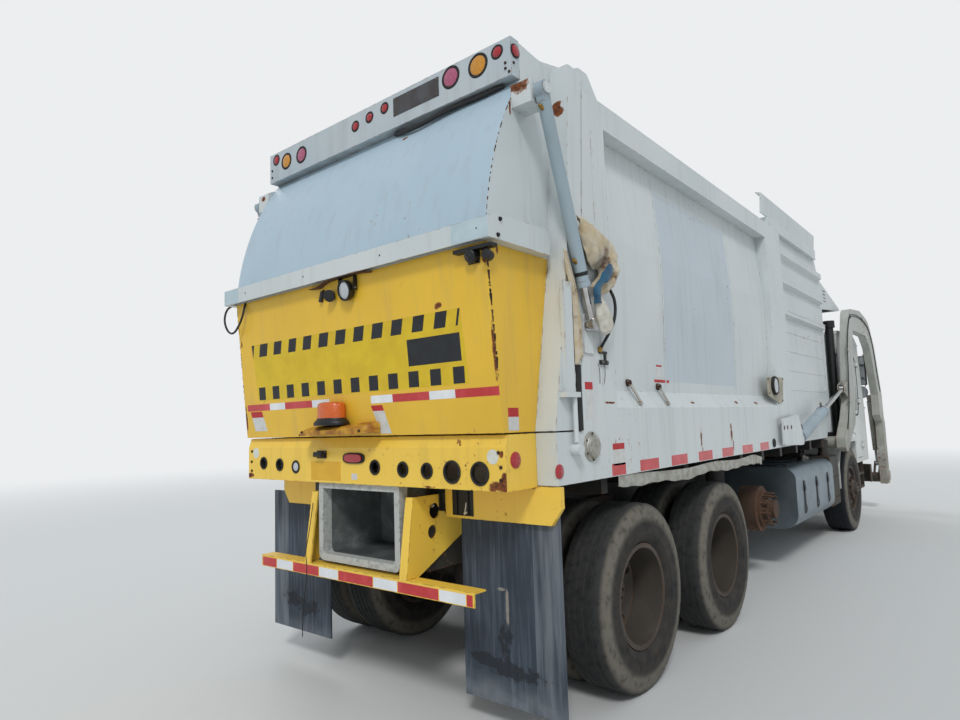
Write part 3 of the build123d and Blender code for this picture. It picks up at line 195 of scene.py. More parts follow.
# Where an edge is worn through: the rounded normal departs from the true one, broken up by noise
def wornEdges(tree, where, width, amount):
    soft = addNode(tree, "Bevel", {"Radius": width / 1000}, samples=4)
    true = addNode(tree, "NewGeometry")
    both = addNode(tree, "VectorMath", {0: soft, 1: true.outputs["Normal"]}, operation="DOT_PRODUCT")
    edge = addNode(tree, "MapRange", {0: both.outputs["Value"], 1: 0.985, 2: 0.86})
    return overlap(tree, edge, patches(tree, where, 55, amount, 0.06, detail=5, shift=7))


# Share of the surface that faces along one of the object's axes, either way
def facing(tree, axis):
    normal = addNode(tree, "SeparateXYZ", {0: addNode(tree, "TexCoord").outputs["Normal"]})
    size = addNode(tree, "Math", {0: normal.outputs[axis]}, operation="ABSOLUTE")
    return addNode(tree, "Math", {0: size, 1: 0.7}, operation="GREATER_THAN")


# Named spots with ragged edges: (across, up, half width, half height) in metres on two of the object's axes
def raggedSpots(tree, where, axes, spots, first, second):
    ragged = addNode(tree, "TexNoise", {"Vector": where, "Scale": 22, "Detail": 5})
    total = None
    for a, b, wide, high in spots:
        parts = []
        for axis, middle, half in ((first, a, wide), (second, b, high)):
            away = addNode(tree, "Math", {0: axes[axis], 1: middle}, operation="SUBTRACT")
            share = addNode(tree, "Math", {0: away, 1: half}, operation="DIVIDE")
            parts.append(addNode(tree, "Math", {0: share, 1: share}, operation="MULTIPLY"))
        reach = addNode(tree, "Math", {0: parts[0], 1: parts[1]})
        rough = addNode(tree, "Math", {0: ragged, 1: 3.2, 2: reach}, operation="MULTIPLY_ADD")
        spot = addNode(tree, "MapRange", {0: rough, 1: 2.5, 2: 1.9}, interpolation_type="SMOOTHSTEP")
        total = spot if total is None else addNode(tree, "Math", {0: total, 1: spot}, operation="MAXIMUM")
    return overlap(tree, total, facing(tree, 3 - first - second))


# Sprayed enamel: orange peel and slow dents in its bump, road film from the ground up, rain streaks,
# painted shade and dirt in corners (darkened by ambient occlusion, broken up by noise),
# and rust where edges are chipped and at a few spots
def paintedSteel(name, look, zones=(), spots=()):
    tree, where = newMaterial(name)
    axes = addNode(tree, "SeparateXYZ", {0: where}).outputs
    colour = coated(tree, linear(look["paint"]), (patches(tree, where, 900, 0.5, 0.25), linear(look["faded"])))
    for mask, (fresh, old) in zones:
        other = coated(tree, linear(fresh), (patches(tree, where, 700, 0.5, 0.25, shift=3), linear(old)))
        colour = coated(tree, colour, (mask(tree, axes), other))
    streak = patches(tree, where, 60, look["streaks"], 0.12, stretch=(1, 1, 0.06), detail=3)
    low = addNode(tree, "MapRange", {0: axes[2], 1: look["filmTop"], 2: 0.2}, interpolation_type="SMOOTHSTEP")
    film = overlap(tree, low, patches(tree, where, 180, 0.75, 0.3, shift=5))
    # painted shade: ambient occlusion darkens corners in a dirt colour, broken up by noise, so it is painted shade and
    # dirt
    corner = addNode(tree, "AmbientOcclusion", {"Distance": 0.1}, samples=4)
    shade = addNode(tree, "MapRange", {0: corner.outputs["AO"], 1: 0.7, 2: 0.25})
    cornerShadeAndDirt = overlap(tree, shade, patches(tree, where, 120, 0.8, 0.3, shift=2))
    specks = overlap(tree, patches(tree, where, 700, 0.1 + 0.35 * look["rust"], 0.06, shift=9),
                     patches(tree, where, 34, 0.1 + 0.3 * look["rust"], 0.03, detail=6, shift=11))
    rust = addNode(tree, "Math", {0: specks, 1: wornEdges(tree, where, 7, look["wear"])}, operation="MAXIMUM")
    for group in spots:
        rust = addNode(tree, "Math", {0: rust, 1: raggedSpots(tree, where, axes, *group)}, operation="MAXIMUM")
    halo = addNode(tree, "Math", {0: rust, 1: 0.55}, operation="POWER")
    rustTone = coated(tree, linear("4a2817"), (patches(tree, where, 14, 0.5, 0.2), linear("8f4d22")))
    colour = coated(tree, colour, (overlap(tree, streak, 0.14), linear(look["film"])),
                    (overlap(tree, film, look["grimeAndShade"]), linear(look["film"])),
                    (overlap(tree, cornerShadeAndDirt, look["grimeAndShade"]), linear("4d4538")),
                    (overlap(tree, halo, 0.5), linear("b98b52")), (rust, rustTone))
    dull = addNode(tree, "MapRange", {0: film, 3: look["gloss"], 4: 0.8})
    roughness = addNode(tree, "Mix", {0: rust, 2: dull, 3: 0.9})
    peel = addNode(tree, "TexNoise", {"Vector": where, "Scale": 110, "Detail": 2})  # real peel is 2 mm, drawn at 9
    dents = addNode(tree, "TexNoise", {"Vector": where, "Scale": 2.6, "Detail": 1})
    relief = addNode(tree, "Bump", {"Height": peel, "Strength": 0.05, "Distance": 0.002})
    relief = addNode(tree, "Bump", {"Height": dents, "Strength": 0.25, "Distance": 0.012, "Normal": relief})
    relief = addNode(tree, "Bump", {"Height": rust, "Strength": 0.6, "Distance": 0.001, "Normal": relief})
    finishMaterial(tree, {"Base Color": colour, "Roughness": roughness, "Normal": relief, "Specular IOR Level": 0.5})


for name, look in paintLooks.items():
    paintedSteel(name, look)
yellow = ("f2c43a", "e6b836")  # rear panels, sprayed in one colour with the rack

gateZones = {
    "frameY": 1182,  # the frame's rear edge, carried down to the ground
    "frameSlope": 0.1933,
    "guardFoot": 2404,
    "guardTop": 2450,
    "yellowHalf": 1102,
    "blueHalf": 1100.5,
}


# Whether the surface lies within a distance of the truck's middle, in millimetres
def withinHalf(tree, axes, half):
    across = addNode(tree, "Math", {0: axes[0]}, operation="ABSOLUTE")
    return addNode(tree, "Math", {0: across, 1: half / 1000}, operation="LESS_THAN")


# The tailgate's shell is yellow below its guard and behind its frame, and white elsewhere
def belowGuard(tree, axes):
    rise = addNode(tree, "Math", {0: axes[2], 1: gateZones["frameSlope"], 2: axes[1]}, operation="MULTIPLY_ADD")
    behind = addNode(tree, "Math", {0: rise, 1: at(0, gateZones["frameY"], 0).y}, operation="GREATER_THAN")
    lower = addNode(tree, "Math", {0: axes[2], 1: gateZones["guardFoot"] / 1000}, operation="LESS_THAN")
    return overlap(tree, behind, lower, withinHalf(tree, axes, gateZones["yellowHalf"]))


# The tailgate's skin above the guard is coloured pale blue on its faces that face along the truck
def aboveGuard(tree, axes):
    upper = addNode(tree, "Math", {0: axes[2], 1: gateZones["guardTop"] / 1000}, operation="GREATER_THAN")
    return overlap(tree, withinHalf(tree, axes, gateZones["blueHalf"]), upper, facing(tree, 1))


resprayedField = {"y": (-1960, -565), "z": (1787, 3100)}


# A field on the right side of the body was sprayed again, in a bluer white
def resprayed(tree, axes):
    (y0, y1), (z0, z1) = resprayedField["y"], resprayedField["z"]
    right = addNode(tree, "Math", {0: axes[0], 1: -1.0}, operation="LESS_THAN")
    along = band(tree, axes[1], at(0, y0, 0).y, at(0, y1, 0).y, 0.002)
    return overlap(tree, right, along, band(tree, axes[2], z0 / 1000, z1 / 1000, 0.002))


def placed(spots):  # rust spots on a side wall, from millimetres: (y, z, half width, half height)
    return [(at(0, y, 0).y, z / 1000, wide / 1000, high / 1000) for y, z, wide, high in spots]


sideRust = [(-965, 1400, 16, 70), (-1590, 1400, 22, 85), (-980, 1300, 8, 40), (330, 1640, 60, 8), (-900, 1645, 50, 8),
            (-1830, 1650, 40, 12), (-2350, 1648, 55, 14), (-1620, 1310, 9, 55), (250, 1180, 60, 10)]
gateRust = [(-1.15, 3.245, 0.075, 0.045), (1.165, 3.235, 0.03, 0.02), (-0.3, 3.24, 0.03, 0.012),
            (-0.755, 2.141, 0.028, 0.022), (0.499, 1.513, 0.018, 0.014), (1.076, 2.137, 0.012, 0.03),
            (-1.09, 1.9, 0.012, 0.16), (1.09, 1.62, 0.012, 0.1), (-1.085, 2.33, 0.02, 0.06)]
earRust = [(1010, 3300, 40, 30), (1003, 3150, 9, 55), (1180, 1560, 10, 60), (1150, 2380, 12, 40)]
panelRust = [(-1.06, 1.248, 0.10, 0.030), (-1.02, 1.24, 0.05, 0.022), (-1.09, 1.29, 0.02, 0.05),
             (-1.075, 1.4, 0.014, 0.02), (1.07, 1.25, 0.04, 0.016), (-0.6, 1.233, 0.05, 0.008)]
paintedSteel("bodySideEnamel", paintLooks["bodyEnamel"], [(resprayed, ("c3cdd4", "bcc6cd"))],
             [(placed(sideRust), 1, 2)])
paintedSteel("panelEnamel", paintLooks["rackEnamel"], (), [(panelRust, 0, 2)])
paintedSteel("tailgateEnamel", dict(paintLooks["bodyEnamel"], filmTop=1.3, streaks=0.2),
             [(belowGuard, yellow), (aboveGuard, ("b5c9d5", "afc4d1"))],
             [(gateRust, 0, 2), (placed(earRust), 1, 2)])
print("stage 2: enamels")


def simpleMaterial(name, colour, rough, metal, second, size, bump, bumpSize):
    tree, where = newMaterial(name)
    base = coated(tree, linear(colour), (patches(tree, where, size, 0.5, 0.25), linear(second)))
    inputs = {"Base Color": base, "Roughness": rough, "Metallic": metal}
    if bump:
        grain = addNode(tree, "TexNoise", {"Vector": where, "Scale": 1000 / bumpSize, "Detail": 3})
        inputs["Normal"] = addNode(tree, "Bump", {"Height": grain, "Strength": bump, "Distance": 0.001})
    finishMaterial(tree, inputs)


plainLooks = {
    # name: colour, roughness, metallic, second colour, patch size mm, bump, bump size mm
    "mouldedRubber": ("141414", 0.6, 0, "1f1f1e", 40, 0.2, 4),  # grommets and seals
    "blackPlastic": ("101112", 0.45, 0, "1a1a1b", 60, 0.15, 2),  # moulded housings with a fine grain
    "seatVinyl": ("26272a", 0.55, 0, "303134", 90, 0.3, 5),  # leather-grained sheet
    "millAluminium": ("97a3ab", 0.42, 1.0, "85929a", 200, 0.1, 6),  # rolled sheet, dulled by oxide
    "hardChrome": ("d9d9d9", 0.12, 1.0, "b5b2ad", 60, 0.05, 5),  # plated rod, wiped clean by its seal
    "zincPlate": ("8f8e88", 0.42, 1.0, "6f6a60", 25, 0.2, 3),  # plated bolts, dulled
    "oilyCasting": ("2c2723", 0.6, 0.2, "3e342a", 80, 0.5, 8),  # sand-cast iron under oil and dust
    "wornSteel": ("6a6561", 0.45, 0.9, "7d5a3d", 150, 0.3, 10),  # plate polished by the load
    "signBlack": ("17191d", 0.5, 0, "22252b", 60, 0.1, 5),  # printed vinyl film
    "signYellow": ("e6c51e", 0.45, 0, "d8b51a", 120, 0.1, 5),  # printed vinyl film
    "labelWhite": ("d9dad8", 0.5, 0, "c9c9c4", 40, 0.1, 5),  # printed vinyl film
    "mirrorGlass": ("c8ccd0", 0.03, 1.0, "c8ccd0", 100, 0, 5),  # silvered glass
    "brass": ("b08d4a", 0.35, 1.0, "8a6c38", 20, 0.1, 3),  # turned fittings
    "rustyNut": ("4a3226", 0.85, 0.1, "2e2622", 12, 0.6, 4),  # forged steel under scale
    "blackBolt": ("1b1a19", 0.5, 0.3, "2a2725", 10, 0.3, 3),  # oil-blackened steel
    "rustySteel": ("6b4327", 0.85, 0.1, "4d3b2e", 30, 0.6, 6),  # bare plate gone to rust
    "dustySteel": ("b9b2a2", 0.6, 0, "8f8876", 60, 0.4, 8),  # painted plate under road dust
    "rustyYellow": ("d9a52c", 0.5, 0, "8a4a1c", 60, 0.5, 10),  # rack paint lifted by rust
    "patchYellow": ("e8b52c", 0.4, 0, "dfab26", 80, 0.1, 6),  # brushed-on touch-up coat
    "plateGrey": ("5d5f62", 0.45, 0.4, "4d4645", 120, 0.2, 6),  # bare place of the name plate
    "dirtyAluminium": ("c4c3bc", 0.5, 0.7, "9d998c", 50, 0.3, 6),  # rolled strip, dull and dusty
    "bluePrimer": ("c2d2d8", 0.45, 0, "b3c6cd", 90, 0.1, 6),  # touch-up coat, bluer than the body
    "labelRed": ("c2262b", 0.5, 0, "b02328", 60, 0.1, 5),  # printed vinyl film
    "stickerPale": ("dfe0d4", 0.45, 0, "cfd0c4", 30, 0.1, 5),  # sun-bleached film
    "darkGlass": ("0b0c0e", 0.08, 0, "0b0c0e", 50, 0, 5),  # coated camera lens
    "hoseRubber": ("17181a", 0.55, 0, "242424", 30, 0.25, 3),  # braided hose under a rubber skin
    "bagFilm": ("dcd9cf", 0.35, 0, "c2bcab", 40, 0.3, 9),  # thin polythene, crumpled and dusty
    "hookEnamel": ("e6e4dc", 0.4, 0, "c9c4b4", 20, 0.1, 5),  # dipped coat on bent wire
    "sealRubber": ("0f0f10", 0.5, 0, "1a1a1a", 60, 0.1, 4),  # extruded window seal
}
for name, look in plainLooks.items():
    simpleMaterial(name, *look)


# Cab window: clear glass with a faint grey tint and a dusty film
def glazing(name):
    tree, where = newMaterial(name)
    dust = addNode(tree, "MapRange", {0: patches(tree, where, 300, 0.5, 0.3), 3: 0.03, 4: 0.22})
    finishMaterial(tree, {"Base Color": linear("aeb8b6"), "Roughness": dust, "IOR": 1.5,
                          "Transmission Weight": 0.85, "Specular IOR Level": 0.5})


weave = 2.0  # thread spacing in millimetres: real threads are too fine to show, so they are drawn this coarse


# Cotton cloth: a plain weave in its bump, with sweat and rust stains
def cloth(name, colour, aged, stain, stained):
    tree, where = newMaterial(name)
    blot = overlap(tree, patches(tree, where, 120, stained, 0.1, shift=6), patches(tree, where, 22, 0.8, 0.3))
    base = coated(tree, linear(colour), (patches(tree, where, 90, 0.5, 0.25), linear(aged)), (blot, linear(stain)))
    threads = [addNode(tree, "TexWave", {"Vector": where, "Scale": 1000 / weave / 6.3, "Distortion": 0.6},
                       wave_type="BANDS", bands_direction=way).outputs["Fac"] for way in ("Y", "Z")]
    relief = addNode(tree, "Bump", {"Height": overlap(tree, *threads), "Strength": 0.4, "Distance": 0.0006})
    finishMaterial(tree, {"Base Color": base, "Roughness": 0.9, "Normal": relief, "Sheen Weight": 0.25,
                          "Specular IOR Level": 0.3})


flapMarks = {
    # on the rear face, in metres: (across, up, half width, half height)
    "smears": [(-0.74, 0.33, 0.13, 0.04), (-0.93, 0.30, 0.2, 0.05), (-0.85, 0.44, 0.05, 0.11),
               (0.80, 0.36, 0.14, 0.06), (0.98, 0.40, 0.11, 0.06)],
    "scratches": [(-0.87, 0.61, 0.010, 0.11), (-0.835, 0.70, 0.03, 0.009)],
    "wornFrom": 1.04,  # distance from the truck's middle
}


# Mud flap: cut rubber sheet gone blue-grey, with scuffs that run down it, a paler worn border and dark smears
def flapRubber(name):
    tree, where = newMaterial(name)
    axes = addNode(tree, "SeparateXYZ", {0: where}).outputs
    scuffs = patches(tree, where, 24, 0.34, 0.14, stretch=(1, 1, 0.05), detail=5)
    across = addNode(tree, "Math", {0: axes[0]}, operation="ABSOLUTE")
    outer = addNode(tree, "Math", {0: across, 1: flapMarks["wornFrom"]}, operation="GREATER_THAN")
    edge = overlap(tree, outer, patches(tree, where, 50, 0.6, 0.2, stretch=(1, 1, 0.08), shift=3))
    foot = addNode(tree, "MapRange", {0: axes[2], 1: 0.30, 2: 0.16}, interpolation_type="SMOOTHSTEP")
    worn = addNode(tree, "Math", {0: edge, 1: overlap(tree, foot, patches(tree, where, 120, 0.7, 0.3))},
                   operation="MAXIMUM")
    smears, scratches = [raggedSpots(tree, where, axes, flapMarks[marks], 0, 2) for marks in ("smears", "scratches")]
    colour = coated(tree, linear("28323f"), (patches(tree, where, 260, 0.5, 0.3), linear("353f4b")),
                    (overlap(tree, scuffs, 0.3), linear("748090")), (overlap(tree, worn, 0.5), linear("8b9298")),
                    (overlap(tree, smears, 0.8), linear("171b22")), (overlap(tree, scratches, 0.6), linear("a9a294")))
    grain = addNode(tree, "TexNoise", {"Vector": where, "Scale": 85, "Detail": 3})
    relief = addNode(tree, "Bump", {"Height": grain, "Strength": 0.3, "Distance": 0.001})
    finishMaterial(tree, {"Base Color": colour, "Roughness": 0.7, "Normal": relief})


# Catch bin: moulded composite, speckled grey with a chalky lip, darker inside and near black towards its floor
def binComposite(name):
    tree, where = newMaterial(name)
    axes = addNode(tree, "SeparateXYZ", {0: where}).outputs
    rim = addNode(tree, "Math", {0: axes[1], 1: at(0, 1057, 0).y}, operation="GREATER_THAN")
    inner = addNode(tree, "Math", {0: 1, 1: rim}, operation="SUBTRACT")
    # darker towards the bottom of the inside
    lowInside = addNode(tree, "MapRange", {0: axes[2], 1: 0.87, 2: 0.76}, interpolation_type="SMOOTHSTEP")
    chalky = overlap(tree, rim, patches(tree, where, 26, 0.75, 0.15, shift=4), 0.8)
    colour = coated(tree, linear("a6a9a6"), (patches(tree, where, 150, 0.5, 0.3), linear("8b8f91")),
                    (patches(tree, where, 9, 0.3, 0.05, detail=2), linear("6c7073")), (chalky, linear("c3c5c0")),
                    (overlap(tree, inner, patches(tree, where, 110, 0.8, 0.3, shift=6)), linear("5f6563")),
                    (overlap(tree, lowInside, inner, patches(tree, where, 260, 1.0, 0.3, shift=8)), linear("1c1d1f")))
    grain = addNode(tree, "TexNoise", {"Vector": where, "Scale": 75, "Detail": 5})
    relief = addNode(tree, "Bump", {"Height": grain, "Strength": 0.9, "Distance": 0.002})
    finishMaterial(tree, {"Base Color": colour, "Roughness": 0.82, "Normal": relief})


# Lamp lens: dyed acrylic, moulded with small prisms; a painted highlight draws them as a bright grid in a lighter
# colour
def lens(name, colour, prismHighlight):
    tree, where = newMaterial(name)
    prisms = addNode(tree, "TexVoronoi", {"Vector": where, "Scale": 120}).outputs["Distance"]
    relief = addNode(tree, "Bump", {"Height": prisms, "Strength": 0.7, "Distance": 0.002})
    # painted highlight: the lens colour turns lighter towards the edge of each prism
    tone = addNode(tree, "MapRange", {0: prisms, 1: 0.0, 2: 0.7, 3: 0.0, 4: 0.6})
    finishMaterial(tree, {"Base Color": coated(tree, linear(colour), (tone, linear(prismHighlight))), "Roughness": 0.16,
                          "IOR": 1.49, "Transmission Weight": 0.25, "Normal": relief, "Coat Weight": 0.5})


# Reflective tape: a honeycomb of glass beads under a clear film
def reflectiveTape(name, colour, pale):
    tree, where = newMaterial(name)
    cells = addNode(tree, "TexVoronoi", {"Vector": where, "Scale": 160}, feature="DISTANCE_TO_EDGE")
    wall = addNode(tree, "MapRange", {0: cells, 1: 0.0, 2: 0.12, 3: 0.35, 4: 0.0})
    base = coated(tree, linear(colour), (patches(tree, where, 90, 0.3, 0.2), linear(pale)), (wall, linear(pale)))
    finishMaterial(tree, {"Base Color": base, "Roughness": 0.3, "Coat Weight": 0.3})


# Worn tyre: black tread, and a sidewall that mud has turned to a grey beige, darker near the bead
def tyreRubber(name):
    tree, where = newMaterial(name)
    axes = addNode(tree, "SeparateXYZ", {0: where}).outputs
    squares = [addNode(tree, "Math", {0: axes[i], 1: axes[i]}, operation="MULTIPLY") for i in (1, 2)]
    total = addNode(tree, "Math", {0: squares[0], 1: squares[1]})
    radius = addNode(tree, "Math", {0: total, 1: 0.5}, operation="POWER")
    mud = overlap(tree, band(tree, radius, 0.30, 0.515, 0.008), patches(tree, where, 70, 0.75, 0.3), 0.6)
    dust = overlap(tree, band(tree, radius, 0.43, 0.515, 0.025), patches(tree, where, 45, 0.85, 0.2, shift=4), 0.75)
    colour = coated(tree, linear("12161c"), (patches(tree, where, 25, 0.4, 0.2), linear("1e242b")),
                    (mud, linear("4b443b")), (dust, linear("7d786d")))
    fine = addNode(tree, "TexNoise", {"Vector": where, "Scale": 260, "Detail": 3})
    relief = addNode(tree, "Bump", {"Height": fine, "Strength": 0.35, "Distance": 0.0015})
    finishMaterial(tree, {"Base Color": colour, "Roughness": 0.82, "Normal": relief, "Specular IOR Level": 0.35})


cloth("cottonCloth", "cfc7b6", "bfab86", "5c3a26", 0.26)
cloth("blueCloth", "1f4a66", "2f6480", "1b2a34", 0.3)
flapRubber("flapSheet")
binComposite("greyComposite")
glazing("floatGlass")
lens("redLens", "a3121f", "e0323c")
lens("pinkLens", "b2456c", "d9799a")
lens("amberLens", "e08a10", "f7b53a")
lens("orangeLens", "e2530c", "ff8a3a")
lens("clearLens", "c6ccd2", "eef2f5")
reflectiveTape("tapeRed", "bf1d22", "d2454a")
reflectiveTape("tapeWhite", "dfe3e6", "f2f4f5")
tyreRubber("tyreRubber")
print("stage 3: materials, " + str(len(materials)))

nodeFinish = {
    "bodyEnamel": ["hopper_shell", "hopper_deflectors", "cab_guard", "tailgate_guard"],
    "barEnamel": ["tailgate_light_bar"],
    "bodySideEnamel": ["body_shell"],
    "cabEnamel": ["cab_shell", "front_fenders", "door_left", "door_right"],
    "armEnamel": ["loader_arms", "fork_barrels"],
    "ramEnamel": ["lift_barrels", "tailgate_barrels"],
    "tailgateEnamel": ["tailgate_shell"],
    "panelEnamel": ["light_panel"],
    "rackEnamel": ["underride_bar"],
    "chassisEnamel": ["frame_rails", "front_bumper", "step_boxes", "pusher_axle", "fork_frame", "cab_steps"],
    "wheelEnamel": ["front_rim_left", "front_rim_right", "rear_rims_left", "rear_rims_right", "mid_rims_left",
                    "mid_rims_right"],
    "hubCasting": ["pusher_hub_left", "pusher_hub_right"],
    "floatGlass": ["cab_glass", "door_glass_left", "door_glass_right"],
    "blackPlastic": ["cab_grille", "intake_stack", "mirrors"],
    "seatVinyl": ["cab_interior"],
    "millAluminium": ["fuel_tank", "hydraulic_tank"],
    "oilyCasting": ["engine_block", "driveline", "front_axle", "rear_axles", "knuckle_left", "knuckle_right"],
    "flapSheet": ["mud_flaps"],
    "greyComposite": ["catch_bin"],
    "wornSteel": ["packer_panel"],
    "hardChrome": ["lift_rods", "tailgate_rods", "fork_rods"],
}
for finish, nodes in nodeFinish.items():
    for node in nodes:
        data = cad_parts[node].data
        data.materials.clear()
        data.materials.append(materials[finish])


# Mesh helpers: each adds one form, in millimetres, to a bmesh and gives its faces a material slot

def addBlock(bm, low, high, slot=0):
    corners = [Vector((x, y, z)) for x in (low[0], high[0]) for y in (low[1], high[1]) for z in (low[2], high[2])]
    verts = [bm.verts.new(c) for c in corners]
    for quad in ((0, 1, 3, 2), (4, 6, 7, 5), (0, 4, 5, 1), (2, 3, 7, 6), (0, 2, 6, 4), (1, 5, 7, 3)):
        bm.faces.new([verts[i] for i in quad]).material_index = slot


# Closes a run of rings of vertices with quads, and its two ends
def joinRings(bm, rings, slot=0, closed=False):
    count = len(rings[0])
    for first, after in zip(rings, rings[1:] + rings[:1] if closed else rings[1:]):
        for i in range(count):
            j = (i + 1) % count
            bm.faces.new((first[i], first[j], after[j], after[i])).material_index = slot
    if not closed:
        bm.faces.new(list(reversed(rings[0]))).material_index = slot
        bm.faces.new(rings[-1]).material_index = slot


# Turned form: (distance along the axis, radius) points swept round the axis from a centre
def addTurned(bm, centre, axis, points, segments=32, slot=0, closed=False):
    axis = Vector(axis).normalized()
    side = axis.orthogonal().normalized()
    other = axis.cross(side)
    turns = [side * cos(tau * i / segments) + other * sin(tau * i / segments) for i in range(segments)]
    rings = [[bm.verts.new(Vector(centre) + axis * along + turn * radius) for turn in turns]
             for along, radius in points]
    joinRings(bm, rings, slot, closed)


def headings(line):  # the way that a line runs at each of its points
    last = len(line) - 1
    return [(line[min(i + 1, last)] - line[max(i - 1, 0)]).normalized() for i in range(last + 1)]


# Round bar or hose through points, with its rings turned smoothly from one to the next
def addTube(bm, path, radius, segments=10, slot=0):
    path = [Vector(p) for p in path]
    normal = None
    rings = []
    for p, ahead in zip(path, headings(path)):
        normal = ahead.orthogonal() if normal is None else normal - ahead * normal.dot(ahead)
        normal.normalize()
        other = ahead.cross(normal)
        rings.append([bm.verts.new(p + (normal * cos(tau * k / segments) + other * sin(tau * k / segments)) * radius)
                      for k in range(segments)])
    joinRings(bm, rings, slot)


# Flat plate: a ring of points and the same ring moved by a vector
def addPlate(bm, ring, depth, slot=0):
    ring = [Vector(p) for p in ring]
    near = [bm.verts.new(p) for p in ring]
    far = [bm.verts.new(p + Vector(depth)) for p in ring]
    bm.faces.new(near).material_index = slot
    bm.faces.new(list(reversed(far))).material_index = slot
    for i in range(len(ring)):
        j = (i + 1) % len(ring)
        bm.faces.new((near[j], near[i], far[i], far[j])).material_index = slot


def oblong(a0, a1, b0, b1, y=None):  # corners of an oblong, flat or standing across the truck at y
    corners = [(a0, b0), (a1, b0), (a1, b1), (a0, b1)]
    return corners if y is None else [(a, y, b) for a, b in corners]


def addBolt(bm, centre, axis, size=12, slot=0):  # hexagon head on its washer
    addTurned(bm, centre, axis, [(-1, size), (0.2 * size, size)], 16, slot)
    addTurned(bm, centre, axis, [(0.2 * size, 0.87 * size), (0.75 * size, 0.87 * size), (0.83 * size, 0.7 * size)], 6,
              slot)


# Smooth line through points, as (count) even steps of a Catmull-Rom spline
def smoothLine(points, count):
    points = [Vector(p) for p in points]
    padded = [2 * points[0] - points[1]] + points + [2 * points[-1] - points[-2]]
    line = []
    for step in range(count + 1):
        t = step / count * (len(points) - 1)
        i = min(int(t), len(points) - 2)
        t -= i
        a, b, c, d = padded[i:i + 4]
        line.append(0.5 * (2 * b + (c - a) * t + (2 * a - 5 * b + 4 * c - d) * t * t
                           + (3 * b - a - 3 * c + d) * t * t * t))
    return line


surfaces = {}


def castOn(node, start, toward):  # where a line from start meets a node, in millimetres
    if node not in surfaces:
        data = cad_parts[node].data
        surfaces[node] = BVHTree.FromPolygons([v.co for v in data.vertices], [p.vertices for p in data.polygons])
    spot = surfaces[node].ray_cast(at(*start), Vector(toward))[0]
    if spot is None:
        raise RuntimeError(f"nothing of {node} lies {tuple(toward)} from {tuple(start)}")
    return fromRear(spot)


viewed = {
    "right": (Vector((1, 0, 0)), lambda a, b: (-2500, a, b)),
    "left": (Vector((-1, 0, 0)), lambda a, b: (2500, a, b)),
    "rear": (Vector((0, -1, 0)), lambda a, b: (a, 2500, b)),
    "front": (Vector((0, 1, 0)), lambda a, b: (a, -9500, b)),
}


def seenOn(node, view, a, b):  # the point of a node that a view sees at (across, up)
    toward, eye = viewed[view]
    return castOn(node, eye(a, b), toward)


# Film laid on a node's surface: four corners as seen square-on, (across, up), and its lift off the surface
def addFilm(bm, node, view, corners, slot=0, lift=1.0, steps=(1, 1)):
    toward = viewed[view][0]
    low, high = [], []
    a, b, c, d = [Vector(p) for p in corners]
    for i in range(steps[0] + 1):
        for j in range(steps[1] + 1):
            s, t = i / steps[0], j / steps[1]
            p = a.lerp(b, s).lerp(d.lerp(c, s), t)
            spot = seenOn(node, view, p.x, p.y)
            high.append(bm.verts.new(spot - toward * lift))
            low.append(bm.verts.new(spot - toward * 0.1))
    across = steps[1] + 1
    for i in range(steps[0]):
        for j in range(steps[1]):
            k = i * across + j
            quad = (k, k + across, k + across + 1, k + 1)
            bm.faces.new([high[n] for n in quad]).material_index = slot
            bm.faces.new([low[n] for n in reversed(quad)]).material_index = slot
    edge = [i * across for i in range(steps[0] + 1)]
    edge += [steps[0] * across + j for j in range(1, across)]
    edge += [i * across + steps[1] for i in range(steps[0] - 1, -1, -1)]
    edge += [j for j in range(steps[1] - 1, 0, -1)]
    for k in range(len(edge)):
        n, m = edge[k], edge[(k + 1) % len(edge)]
        bm.faces.new((high[n], high[m], low[m], low[n])).material_index = slot


def addPiece(name, bm, finishes, body, rounding=0.0, smooth=40, origin=None):
    bmesh.ops.recalc_face_normals(bm, faces=bm.faces)
    centre = at(*origin) if origin is not None else Vector()
    for vert in bm.verts:
        vert.co = at(*vert.co) - centre
    data = bpy.data.meshes.new(name)
    bm.to_mesh(data)
    bm.free()
    for finish in finishes:
        data.materials.append(materials[finish])
    for face in data.polygons:
        face.use_smooth = True
    data.set_sharp_from_angle(angle=radians(smooth))
    piece = bpy.data.objects.new(name, data)
    piece.location = centre
    bpy.context.scene.collection.objects.link(piece)
    if rounding:
        edge = piece.modifiers.new("rounding", "BEVEL")
        edge.width = rounding / 1000
        edge.segments = 2
        edge.limit_method = "ANGLE"
        edge.angle_limit = radians(35)
    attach(piece, body)
    return piece


# Tyres: worn ribs round the tread, notched shoulders and ringed sidewalls

tyreLook = {
    "segments": 160,
    "ribs": 5,
    "grooveDeep": 5,  # what is left of the tread's depth
    "grooveWide": 9,
    "bead": 568,
    "beadIn": 45,         # how far the bead lies inside the tyre's width
    "treadIn": 32,        # and the edge of the flat tread
    "dualWidth": 280,
}


def tyreProfile(width, outer, look):
    half, bead = width / 2, look["bead"] / 2
    side = [(bead, half - look["beadIn"]), (bead + 14, half - 38), (bead + 30, half - 14), (bead + 48, half - 6),
            (bead + 56, half - 5), (bead + 60, half - 1), (bead + 66, half - 1), (bead + 70, half - 3),
            (outer - 120, half - 0.5), (outer - 84, half - 1.5), (outer - 78, half), (outer - 72, half - 2.5),
            (outer - 52, half - 6), (outer - 30, half - 13), (outer - 10, half - 22), (outer - 3, half - 30)]
    tread = []
    edge = half - look["treadIn"]
    wide, deep = look["grooveWide"] / 2, look["grooveDeep"]
    for i in range(1, look["ribs"]):
        middle = edge - i * (2 * edge / look["ribs"])
        tread += [(outer, middle + wide + 1), (outer - deep, middle + wide - 1), (outer - deep, middle - wide + 1),
                  (outer, middle - wide - 1)]
    return side + tread + [(r, -w) for r, w in reversed(side)]


